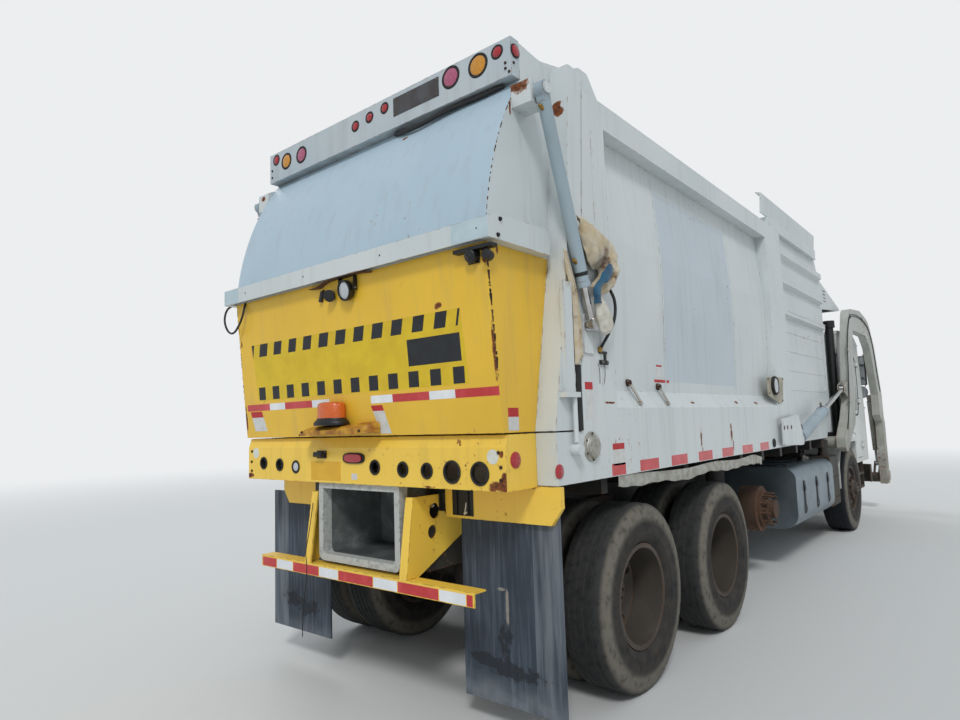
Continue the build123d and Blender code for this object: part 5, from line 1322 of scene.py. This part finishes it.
def makeCords(c):
    for name, (body, finish, diameter, length, points) in c.items():
        addCordPiece(name, points, diameter, finish, body)


# Cloth through rows of points, smoothed both ways, with small folds pressed into it
def addCloth(bm, rows, along, across, folds=0.0, seed=0.0):
    lines = [smoothLine(row, across) for row in rows]
    columns = [smoothLine([line[j] for line in lines], along) for j in range(across + 1)]
    grid = []
    for i in range(along + 1):
        row = []
        for j in range(across + 1):
            p = columns[j][i]
            ahead = columns[j][min(i + 1, along)] - columns[j][max(i - 1, 0)]
            aside = columns[min(j + 1, across)][i] - columns[max(j - 1, 0)][i]
            out = ahead.cross(aside).normalized()
            lift = noise.noise((p + Vector((seed, 0, 0))) / 46) + 0.45 * noise.noise(p / 17)
            row.append(bm.verts.new(p + out * lift * folds))
        grid.append(row)
    for i in range(along):
        for j in range(across):
            bm.faces.new((grid[i][j], grid[i][j + 1], grid[i + 1][j + 1], grid[i + 1][j]))


cloths = {
    # steps along and across, depth of the folds and their seed
    "wrapMesh": (84, 52, 10, 3),
    "stripMesh": (72, 28, 2.5, 8),
    "ragMesh": (60, 44, 2.2, 5),
    # rows across the cloth, from its upper end to its lower one
    "wrap": [
        [(-1262, 680, 2612), (-1272, 676, 2604), (-1278, 668, 2588), (-1272, 660, 2566), (-1260, 656, 2548)],
        [(-1244, 634, 2600), (-1282, 622, 2596), (-1300, 606, 2540), (-1296, 604, 2474), (-1272, 614, 2420)],
        [(-1236, 560, 2590), (-1288, 546, 2582), (-1312, 530, 2510), (-1302, 530, 2430), (-1262, 548, 2366)],
        [(-1236, 480, 2562), (-1290, 468, 2556), (-1306, 452, 2476), (-1272, 466, 2402), (-1240, 478, 2362)],
        [(-1238, 372, 2532), (-1292, 346, 2518), (-1300, 388, 2444), (-1262, 424, 2392), (-1240, 442, 2370)],
        [(-1238, 312, 2458), (-1290, 302, 2442), (-1312, 350, 2404), (-1280, 404, 2366), (-1242, 436, 2352)],
        [(-1238, 300, 2386), (-1292, 298, 2370), (-1314, 350, 2350), (-1286, 404, 2330), (-1244, 444, 2330)],
        [(-1238, 328, 2308), (-1290, 342, 2298), (-1306, 392, 2300), (-1290, 440, 2302), (-1244, 470, 2312)],
        [(-1238, 416, 2240), (-1284, 428, 2234), (-1298, 456, 2250), (-1284, 482, 2266), (-1244, 502, 2286)],
        [(-1240, 500, 2204), (-1270, 505, 2204), (-1284, 516, 2224), (-1270, 526, 2246), (-1246, 532, 2262)],
    ],
    "strip": [
        [(-1236, 772, 2426), (-1230, 764, 2427), (-1226, 757, 2426), (-1231, 750, 2424), (-1236, 742, 2420)],
        [(-1240, 764, 2340), (-1227, 750, 2342), (-1240, 734, 2340), (-1226, 718, 2338), (-1236, 704, 2334)],
        [(-1246, 748, 2262), (-1228, 728, 2262), (-1244, 706, 2260), (-1225, 686, 2256), (-1236, 664, 2250)],
        [(-1240, 716, 2180), (-1226, 700, 2180), (-1242, 680, 2178), (-1224, 660, 2172), (-1232, 642, 2166)],
        [(-1243, 714, 2090), (-1225, 694, 2090), (-1240, 672, 2088), (-1223, 650, 2084), (-1231, 624, 2080)],
        [(-1240, 715, 1990), (-1224, 692, 1990), (-1241, 668, 1986), (-1223, 644, 1982), (-1230, 616, 1978)],
        [(-1242, 714, 1900), (-1226, 694, 1896), (-1240, 670, 1892), (-1224, 646, 1896), (-1230, 616, 1904)],
        [(-1238, 712, 1846), (-1228, 694, 1834), (-1238, 672, 1834), (-1226, 646, 1852), (-1230, 616, 1876)],
    ],
    "rag": [(-1302, 404, 2366), (-1316, 440, 2352), (-1318, 480, 2316), (-1312, 524, 2282), (-1306, 560, 2238),
            (-1304, 566, 2196), (-1302, 560, 2158)],
    "ragHalf": (31, 14),
    "bag": [((-1290, 540, 2206), 16), ((-1292, 526, 2184), 40), ((-1290, 506, 2146), 62), ((-1288, 480, 2092), 76),
            ((-1286, 462, 2046), 70), ((-1286, 464, 2014), 48), ((-1286, 474, 1998), 16)],
    "bagDeep": 0.42,  # the bag's depth as a share of its width
}


def solidified(piece, thick):
    layer = piece.modifiers.new("thickness", "SOLIDIFY")
    layer.thickness = thick / 1000
    layer.offset = 0
    return piece


def makeCloths(c):
    bm = bmesh.new()
    addCloth(bm, c["wrap"], *c["wrapMesh"])
    piece = solidified(addPiece("ramWrapCloth", bm, ["cottonCloth"], "tailgate_barrel", smooth=180), 1.6)
    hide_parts("ram_wrap")
    bm = bmesh.new()
    addCloth(bm, c["strip"], *c["stripMesh"])
    piece = solidified(addPiece("gateCloth", bm, ["cottonCloth"], "tailgate", smooth=180), 1.6)
    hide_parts("gate_cloth")
    # rag knotted round the wrap, rolled to a flat cord
    bm = bmesh.new()
    line = smoothLine(c["rag"], 40)
    half, thick = c["ragHalf"]
    rows = []
    for i, (p, ahead) in enumerate(zip(line, headings(line))):
        wide = ahead.cross(Vector((1, 0, 0))).normalized()
        deep = ahead.cross(wide)
        swell = 1 + 0.18 * noise.noise(p / 30) - 0.25 * (abs(i - 22) < 5)
        rows.append([p + (wide * half * cos(a) + deep * thick * sin(a)) * swell
                     for a in [radians(20 + 330 * k / 22) for k in range(23)]])
    addCloth(bm, rows[::4], *c["ragMesh"])
    piece = solidified(addPiece("blueRag", bm, ["blueCloth"], "tailgate_barrel", smooth=180), 1.2)
    # crumpled bag tied under the rag
    bm = bmesh.new()
    rows = []
    turns = [tau * k / 40 for k in range(40)]
    for place, size in c["bag"]:
        rows.append([bm.verts.new(Vector(place) + Vector((c["bagDeep"] * size * cos(a), size * sin(a), 0)))
                     for a in turns])
    joinRings(bm, rows)
    bmesh.ops.subdivide_edges(bm, edges=bm.edges, cuts=2, use_grid_fill=True)
    bm.normal_update()
    shifts = [(v, v.normal.copy(), 5.5 * noise.noise(v.co / 24) + 2.5 * noise.noise(v.co / 9)) for v in bm.verts]
    for vert, out, lift in shifts:
        vert.co += out * lift
    piece = addPiece("tiedBag", bm, ["bagFilm"], "tailgate_barrel", smooth=180)


makeCords(cords)
makeCloths(cloths)

ramTrim = {
    "band": (2318, 20),  # height of the black band and its width
    "clamp": (351, 433, 1847, 1921),
    "seal": (640, 690, 1496, 1835),
    "ends": ((1260, 950, 3200), (1260, 560, 2050)),    # the cylinder's axis
    "neck": 1006,              # place of its neck and its ports along that axis
    "ports": (900, 120),
}


# Band, neck and ports of the tailgate's cylinders, the clamp on the body's right side and the seal beside the gate
def makeRamTrim(t):
    z, wide = t["band"]
    for side, word in sides:
        start, end = [Vector((side * x, y, z)) for x, y, z in t["ends"]]
        axis = (end - start).normalized()
        bm = bmesh.new()
        spot = start + axis * ((start.z - z) / (start.z - end.z) * (end - start).length)
        addTurned(bm, spot, axis, [(0, 34.2), (0, 35.6), (wide, 35.6), (wide, 34.2)], 40, closed=True)
        neck = start + axis * t["neck"]
        addTurned(bm, neck, axis, [(-26, 34.2), (-26, 37), (4, 37), (7, 33), (7, 22), (-10, 22), (-10, 34.2)], 40, 1,
                  closed=True)
        for along in t["ports"]:
            port = start + axis * along + Vector((0, 30, 12))
            addTurned(bm, port, (0, 1, 0.34), [(-4, 13), (10, 13), (11, 11), (20, 11)], 6, 2)
            addTurned(bm, port + Vector((0, 19, 6)), (0, 1, 0.34), [(0, 9), (14, 9), (16, 7)], 16, 2)
        addPiece(f"ramBand_{word}", bm, ["hoseRubber", "ramEnamel", "brass"], "tailgate_barrel", rounding=0.6)
    y0, y1, z0, z1 = t["clamp"]
    bm = bmesh.new()
    addBlock(bm, (-1228, y0, z1 - 14), (-1220.5, y1, z1))
    addBlock(bm, (-1226, y0 + 6, z0), (-1220.5, y0 + 30, z1 - 10))
    addBlock(bm, (-1234, y0, z0), (-1221, y1, z0 + 24))
    for y in (y0 + 14, y1 - 14):
        addBolt(bm, (-1234, y, z0 + 12), (-1, 0, 0), 8, 1)
    addTurned(bm, (-1224, 432, z1 - 6), (-0.4, 0, 1), [(0, 13), (26, 13), (28, 10)], 6, 2)
    addPiece("hoseClamp", bm, ["blackPlastic", "zincPlate", "brass"], "root", rounding=1.2)
    bm = bmesh.new()
    y0, y1, z0, z1 = t["seal"]
    rows = []
    for i in range(31):
        z = z0 + (z1 - z0) * i / 30
        sway = 3 * sin(i * 0.7) + 2 * sin(i * 1.9)
        section = ((-1220.5, y0), (-1230, y0 + 4), (-1233 - sway / 3, y0 + 22), (-1228, y0 + 44 + sway),
                   (-1220.5, y1 - 4 + sway))
        rows.append([bm.verts.new(Vector((x, y, z))) for x, y in section])
    joinRings(bm, rows)
    addPiece("postSeal", bm, ["mouldedRubber"], "root", smooth=60)


makeRamTrim(ramTrim)
print("stage 8: cords and cloths")


# Cab fittings, arms and what hangs below the rear panel

cab = {
    "frontY": -7880,
    "markers": (-620, -310, 0, 310, 620),  # roof lamps
    "headlamp": (850, 610),
    "screenHalf": 1020,
    "wipers": ((-760, -80), (120, 800)),  # foot and tip of each wiper, across the cab
    "doorWindow": [(-6710, 1640), (-6710, 2240), (-6760, 2310), (-7360, 2310), (-7360, 1560), (-6920, 1560)],
    "handle": (-6700, 1420),
    "grab": (-6560, 1350, 2150),
    "turnLampX": 1060,
    "glassZ": (1640, 2480),  # heights that the windscreen's slope is read at
    "gasketZ": (1616, 2516),
    "windowMiddle": (-7030, 1950),
    "hatch": (-330, 330, -7380, -6860),
    "horn": (-620, -7220),
}


def makeCab(c):
    y = c["frontY"]
    lamps = bmesh.new()
    for side in (-1, 1):
        x, z = c["headlamp"]
        addBlock(lamps, (side * x - 106, y - 104, z - 60), (side * x + 106, y - 99, z + 60))
        for across in (-52, 52):
            centre = (side * x + across, y - 104, z)
            addTurned(lamps, centre, (0, -1, 0), [(0, 46), (3, 48), (6, 44), (3, 40), (0, 38)], 40)
            addTurned(lamps, centre, (0, -1, 0), [(0.5, 40), (3, 38), (6.2, 26), (7.4, 12), (7.8, 1)], 36, 1)
        turn = seenOn("front_bumper", "front", side * c["turnLampX"], z)
        addTurned(lamps, turn, (side * 0.45, -1, 0), [(0, 34), (4, 33), (7, 22), (8, 1)], 32, 2)
    for x in c["markers"]:
        spot = castOn("cab_shell", (x, y + 320, 4000), (0, 0, -1))
        for ring, depth, slot in ((((-46, 22, -2), (46, 22, -2), (40, -26, -2), (-40, -26, -2)), (0, 0, 5), 0),
                                  (((-38, 16, 3), (38, 16, 3), (32, -20, 3), (-32, -20, 3)), (0, 4, 20), 2)):
            addPlate(lamps, [spot + Vector(v) for v in ring], depth, slot)
    addPiece("cabLamps", lamps, ["blackPlastic", "clearLens", "amberLens"], "root", rounding=1.5, smooth=45)
    # rubber gasket round the windscreen, and the wipers that sweep it
    bm = bmesh.new()
    foot, head = [seenOn("cab_glass", "front", 0, z) for z in c["glassZ"]]
    slope = (head - foot) / (head.z - foot.z)

    def onGlass(x, z, lift):
        return foot + slope * (z - foot.z) + Vector((x, -lift, 0))

    wide, (low, high) = c["screenHalf"], c["gasketZ"]
    ring = [(wide - 60, low), (wide, low + 60), (wide, high - 60), (wide - 60, high), (-wide + 60, high),
            (-wide, high - 60), (-wide, low + 60), (-wide + 60, low)]
    ring = smoothLine([onGlass(x, z, 2) for x, z in ring + ring[:1]], 96)[:-1]
    rows = []
    for p in ring:
        inward = (onGlass(0, (low + high) / 2, 2) - p).normalized()
        rows.append([bm.verts.new(p - inward * a + Vector((0, -b, 0))) for a, b in ((26, 0), (24, 7), (8, 9), (-8, 7),
                                                                                   (-10, 0))])
    joinRings(bm, rows, closed=True)
    for pivot, tip in c["wipers"]:
        base = seenOn("cab_shell", "front", pivot, 1520)
        addTurned(bm, base, (0, -1, 0.2), [(0, 20), (12, 20), (20, 12)], 20, 1)
        elbow, blade = onGlass(pivot + 0.55 * (tip - pivot), 1780, 36), onGlass(tip * 0.5 + pivot * 0.5, 1900, 16)
        addTube(bm, smoothLine([base + Vector((0, -14, 4)), elbow, blade], 16), 6, 8, 1)
        ends = onGlass(pivot + 60, 1790, 12), onGlass(tip, 2010, 12)
        addTube(bm, smoothLine([ends[0], blade + Vector((0, 6, 0)), ends[1]], 24), 7, 6)
    addPiece("windscreenTrim", bm, ["sealRubber", "blackPlastic"], "root", smooth=50)
    # seals and handles on the doors; grab rails on the cab's corners
    for side, word in sides:
        out = Vector((side, 0, 0))
        bm = bmesh.new()
        ring = smoothLine([(0, a, b) for a, b in c["doorWindow"] + c["doorWindow"][:1]], 90)[:-1]
        middle = Vector((0, *c["windowMiddle"]))
        face = seenOn(f"door_{word}", word, middle.y, 1400).x
        rows = []
        for p in ring:
            inward = (middle - p).normalized()
            rows.append([bm.verts.new(Vector((face, p.y, p.z)) - inward * a + out * b)
                         for a, b in ((22, 0), (20, 5), (6, 7), (-6, 4), (-8, -2))])
        joinRings(bm, rows, closed=True)
        y0, z0 = c["handle"]
        addPlate(bm, [(face, y0 - 70, z0 - 22), (face, y0 + 40, z0 - 22), (face, y0 + 40, z0 + 22),
                      (face, y0 - 70, z0 + 22)], out * 5, 1)
        addTube(bm, smoothLine([(face + side * 4, y0 - 58, z0), (face + side * 30, y0 - 50, z0),
                                (face + side * 32, y0 + 8, z0), (face + side * 6, y0 + 22, z0)], 20), 8, 10, 1)
        addPiece(f"doorTrim_{word}", bm, ["sealRubber", "blackPlastic"], f"cab_door_{word}", smooth=50)
        bm = bmesh.new()
        y0, z0, z1 = c["grab"]
        wall = seenOn("cab_shell", word, y0, z0).x
        addTube(bm, smoothLine([(wall, y0, z0), (wall + side * 46, y0, z0 + 12), (wall + side * 52, y0, z0 + 60),
                                (wall + side * 52, y0, z1 - 60), (wall + side * 46, y0, z1 - 12), (wall, y0, z1)], 48),
                13, 12)
        for z in (z0, z1):
            addTurned(bm, (wall, y0, z), out, [(-2, 26), (5, 26), (7, 20)], 24)
        addPiece(f"grabRail_{word}", bm, ["millAluminium"], "root", smooth=50)
    # roof hatch and air horn
    bm = bmesh.new()
    roof = castOn("cab_shell", (0, -7100, 4000), (0, 0, -1)).z
    x0, x1, y0, y1 = c["hatch"]
    for inset, lift, tall in ((0, -1, 20), (30, 19, 12)):
        plan = oblong(x0 + inset, x1 - inset, y0 + inset, y1 - inset)
        addPlate(bm, [(x, y, roof + lift) for x, y in plan], (0, 0, tall))
    x, y = c["horn"]
    addTurned(bm, (x, y, roof + 52), (0, -1, 0), [(-190, 14), (-40, 18), (60, 30), (120, 52), (132, 60), (132, 56),
                                                  (118, 46)], 32, 1)
    for y1 in (y - 80, y + 140):
        addBlock(bm, (x - 14, y1 - 10, roof - 1), (x + 14, y1 + 10, roof + 40), 1)
    addPiece("cabRoofFittings", bm, ["cabEnamel", "millAluminium"], "root", rounding=3)


makeCab(cab)

mirrorHead = {"x": (1010, 1175), "z": (1950, 2400), "round": (1077, 1840, 98)}


# Silvered glass on the rear face of each mirror, and the thin tube that frames the head
def makeMirrors(m):
    for side, word in sides:
        bm = bmesh.new()
        y = castOn("mirrors", (side * 1090, -6000, 2200), (0, -1, 0)).y
        x0, x1 = side * m["x"][0] + side * 14, side * m["x"][1] - side * 14
        z0, z1 = m["z"][0] + 16, m["z"][1] - 16
        for low, high in ((z0, z0 + 290), (z0 + 302, z1)):
            addPlate(bm, oblong(x0, x1, low, high, y + 1), (0, 2.5, 0))
        x, z, r = m["round"]
        back = castOn("mirrors", (side * x, -6000, z - 60), (0, -1, 0)).y
        addTurned(bm, (side * x, back, z), (0, 1, 0), [(0.5, r - 6), (3, r - 8), (7, r * 0.5), (8, 1)], 48)
        loop = [(side * (m["x"][1] - 20), y + 40, m["z"][1] + 20), (side * (m["x"][1] - 6), y + 12, m["z"][1] - 40),
                (side * (m["x"][1] - 4), y + 12, m["z"][0] + 60), (side * (m["x"][1] - 20), y + 34, m["z"][0] - 30)]
        addTube(bm, smoothLine(loop, 30), 7, 8, 1)
        addPiece(f"mirrorGlass{word.title()}", bm, ["mirrorGlass", "blackPlastic"], "root", rounding=1)


makeMirrors(mirrorHead)

armTrim = {
    "pipe": [(-5640, 1330), (-5850, 1640), (-5975, 2040), (-6080, 2430), (-6330, 2790), (-6700, 2880), (-7300, 2880),
             (-7800, 2770), (-8080, 2480), (-8260, 2060), (-8380, 1850)],
    "outer": 1285,       # outer face of the arms, out from the truck's middle
    "clamps": (0.12, 0.28, 0.44, 0.6, 0.76, 0.9),       # places along the pipe, as shares
    # caps on the forks' pin and on the pivot: out, along, up, radius
    "pins": [(1285, -8470, 500, 58), (1195, -5560, 1170, 96)],
}


def makeArms(a):
    for side, word in sides:
        out = Vector((side, 0, 0))
        bm = bmesh.new()
        line = smoothLine([(side * (a["outer"] + 4.6), y, z) for y, z in a["pipe"]], 90)
        for shift in (-11, 11):
            addTube(bm, [p + ahead.cross(out) * shift for p, ahead in zip(line, headings(line))], 4, 8)
        for share in a["clamps"]:
            i = int(share * 90)
            ahead = headings(line)[i]
            wide = ahead.cross(out)
            p = line[i] - out * 4.6
            addPlate(bm, [p - wide * 30 - ahead * 12, p + wide * 30 - ahead * 12, p + wide * 30 + ahead * 12,
                          p - wide * 30 + ahead * 12], out * 10, 1)
            addBolt(bm, p + out * 10, out, 0.9, 1)
        addPiece(f"armPipes_{word}", bm, ["hoseRubber", "zincPlate"], "arms", rounding=0.5, smooth=50)
        bm = bmesh.new()
        for x, y, z, r in a["pins"]:
            centre = (side * x, y, z)
            addTurned(bm, centre, out, [(-1, r), (5, r), (8, r - 4), (8, r - 30), (10, r - 34)], 40)
            for k in range(5):
                turn = tau * k / 5 + 0.4
                addBolt(bm, Vector(centre) + out * 6 + Vector((0, cos(turn), sin(turn))) * (r - 16), out, 5, 1)
        addPiece(f"armPinCaps_{word}", bm, ["armEnamel", "rustyNut"], "arms", rounding=1)


makeArms(armTrim)

liftTrim = {"base": (-3500, 1285), "lug": (-5820, 1840), "x": 1228, "barrelR": 60}


# Gland and ports of the arms' lifting cylinders
def makeLiftTrim(t):
    for side, word in sides:
        start, end = Vector((side * t["x"], *t["base"])), Vector((side * t["x"], *t["lug"]))
        axis = (end - start).normalized()
        along = (fromRear(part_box("lift_barrels")[0]).y - start.y) / axis.y  # to the gland's end of the barrel
        r = t["barrelR"]
        bm = bmesh.new()
        gland = start + axis * (along - 4)
        addTurned(bm, gland, axis, [(-52, r + 0.3), (-52, r + 5), (-6, r + 5), (0, r), (6, r - 4), (6, r - 22),
                                    (-6, r - 22), (-6, r + 0.3)], 48, closed=True)
        for share in (along - 90, 170):
            port = start + axis * share + Vector((0, 0, r - 3))
            addTurned(bm, port, (0, 0, 1), [(0, 17), (14, 17), (16, 14), (26, 14)], 6, 1)
            addTurned(bm, port + Vector((0, 0, 26)), (0, 0.5, 1), [(-4, 11), (26, 11), (30, 9)], 20, 1)
        addPiece(f"liftGland_{word}", bm, ["ramEnamel", "zincPlate"], "lift_barrel", rounding=0.8, smooth=45)


makeLiftTrim(liftTrim)

tanks = {
    # side of the truck and the places of the straps along it
    "fuel_tank": (-1, (-4800, -4275, -3750)),
    "hydraulic_tank": (1, (-4650, -3850)),
}
strapRoute = {
    "over": (520, 700, 900, 1030),  # across the top from the inner edge, down the outer side and back below
    "corner": 950,
    "down": (860, 760, 640, 540),
    "under": (1080, 900, 700, 520),
    "boltX": 560,
    "neckX": 980,
}


# Rubber-lined straps round the tanks, each with its tightening bolt, and the filler necks
def makeTankTrim(t, s):
    for node, (side, places) in t.items():
        bm = bmesh.new()
        out, up = Vector((side, 0, 0)), Vector((0, 0, 1))
        for y in places:
            route = [(castOn(node, (side * x, y, 2000), -up), up) for x in s["over"]]
            route.append((castOn(node, (side * 2500, y, s["corner"]), (-side, 0, -0.15)), (out + up).normalized()))
            route += [(castOn(node, (side * 2500, y, z), -out), out) for z in s["down"]]
            route += [(castOn(node, (side * x, y, 0), up), -up) for x in s["under"]]
            line = smoothLine([p + away * 2 for p, away in route], 60)
            rows = []
            for p, ahead in zip(line, headings(line)):
                lift = Vector((0, 1, 0)).cross(ahead) * -side
                rows.append([bm.verts.new(p + Vector((0, a, 0)) + lift * b)
                             for a, b in ((-26, 0), (26, 0), (24, 4), (-24, 4))])
            joinRings(bm, rows)
            top = castOn(node, (side * s["boltX"], y, 2000), -up).z
            addTurned(bm, (side * s["boltX"], y + 34, top + 16), out, [(0, 8), (90, 8)], 10, 1)
        neck = castOn(node, (side * s["neckX"], places[0] + 190, 2000), -up)
        addTurned(bm, neck, (side * 0.35, 0, 1), [(-14, 52), (30, 52), (34, 58), (60, 58), (66, 52), (66, 20),
                                                  (72, 16)], 36, 1)
        addPiece(f"straps_{node}", bm, ["sealRubber", "zincPlate"], "root", rounding=0.8, smooth=50)


makeTankTrim(tanks, strapRoute)

underPanel = {
    "faceY": 898.3,
    # black plates over the hangers' openings: the black boxes there, and painted shade of the recess behind them
    "boxes": [(540, 686, 1050, 1228), (-370, -484, 1075, 1228), (-539, -687, 1059, 1215)],
    "hooks": [(560, 1074), (-400, 1096), (-640, 1074)],
    "wire": [(400, 1128, 1100), (380, 1150, 1060), (330, 1206, 950), (262, 1284, 842), (222, 1302, 790),
             (232, 1298, 700), (300, 1270, 560), (350, 1244, 420), (356, 1240, 350)],
    "markers": [("light_panel", 1066, 1370, 34), ("body_shell", 874, 1304, 30)],
}


def makeUnderPanel(u):
    bm = bmesh.new()
    # painted shade: the plates darken the openings, where black boxes sit in a shaded recess
    for x0, x1, z0, z1 in u["boxes"]:
        low, high = min(x0, x1), max(x0, x1)
        addPlate(bm, oblong(low, high, z0, z1, u["faceY"]), (0, 3, 0))
        for x in (low + 34, high - 34):
            addBlock(bm, (x - 5, 901, z0 + 6), (x + 5, 909, z1 - 4))
    for x, z in u["hooks"]:
        hook = [(x, 902, z + 56), (x, 910, z + 20), (x - 4, 924, z), (x - 26, 930, z + 10)]
        addTube(bm, smoothLine(hook, 18), 4.5, 8, 1)
    addPiece("hangerBoxesAndShade", bm, ["blackPlastic", "hookEnamel"], "root", rounding=1)
    bm = bmesh.new()
    for node, y, z, r in u["markers"]:
        for side, word in sides:
            profile = [(-1, r + 6), (4, r + 5), (5, r), (9, r - 8), (11, r - 20), (11.5, 1)]
            addTurned(bm, seenOn(node, word, y, z), (side, 0, 0), profile, 36)
    addPiece("sideMarkers", bm, ["redLens"], "root", smooth=50)


makeUnderPanel(underPanel)
addCordPiece("trailingWire", underPanel["wire"], 5, "hoseRubber", "root")
print("stage 9: cab, arms, tanks and hangers")


# Stage and light, in metres

stage = {
    "half": 60,
    "floor": "d4d5d4",
    "backdrop": "eceef0",
    "fade": (9, 26),  # from here to there the floor turns into the backdrop
    "sky": ("dfe5ea", 0.72),
    "suns": [("key", (-0.55, 0.75, 0.9), 1.25, 12), ("rim", (0.8, -0.4, 0.7), 0.5, 25)],  # towards, strength, degrees
}


# Far off, the floor is as bright as the backdrop to the camera and to mirrors, so that no edge shows
def makeStage(s):
    bm = bmesh.new()
    half, (near, far) = s["half"], s["fade"]
    bm.faces.new([bm.verts.new((x, y, 0)) for x, y in oblong(-half, half, -half, half)])
    data = bpy.data.meshes.new("floor")
    bm.to_mesh(data)
    bm.free()
    tree, where = newMaterial("paleFloor")
    away = addNode(tree, "VectorMath", {0: where}, operation="LENGTH").outputs["Value"]
    distant = addNode(tree, "MapRange", {0: away, 1: near, 2: far}, interpolation_type="SMOOTHSTEP")
    path = addNode(tree, "LightPath").outputs
    seen = addNode(tree, "Math", {0: path["Is Camera Ray"], 1: path["Is Glossy Ray"]}, operation="MAXIMUM")
    concrete = addNode(tree, "BsdfPrincipled", {"Base Color": linear(s["floor"]), "Roughness": 0.9})
    backdrop = addNode(tree, "Emission", {"Color": linear(s["backdrop"])})
    mixed = addNode(tree, "MixShader", {0: overlap(tree, distant, seen), 1: concrete, 2: backdrop})
    addNode(tree, "OutputMaterial", {"Surface": mixed})
    data.materials.append(materials["paleFloor"])
    floor = bpy.data.objects.new("floor", data)
    bpy.context.scene.collection.objects.link(floor)


def makeLight(s):
    world = bpy.data.worlds.new("softSky")
    bpy.context.scene.world = world
    world.use_nodes = True
    tree = world.node_tree
    tree.nodes.clear()
    path = addNode(tree, "LightPath").outputs
    direct = addNode(tree, "Math", {0: path["Is Camera Ray"], 1: path["Is Transmission Ray"]}, operation="MAXIMUM")
    colour, strength = s["sky"]
    sky = addNode(tree, "Background", {"Color": linear(colour), "Strength": strength})
    backdrop = addNode(tree, "Background", {"Color": linear(s["backdrop"]), "Strength": 1.0})
    addNode(tree, "OutputWorld", {"Surface": addNode(tree, "MixShader", {0: direct, 1: sky, 2: backdrop})})
    for name, toward, strength, spread in s["suns"]:
        light = bpy.data.lights.new(name, "SUN")
        light.energy = strength
        light.angle = radians(spread)
        lamp = bpy.data.objects.new(name, light)
        lamp.rotation_euler = Vector(toward).to_track_quat("Z", "Y").to_euler()
        bpy.context.scene.collection.objects.link(lamp)


makeStage(stage)
makeLight(stage)
bpy.context.scene.view_settings.view_transform = "Standard"

print("stage 10: stage and light")
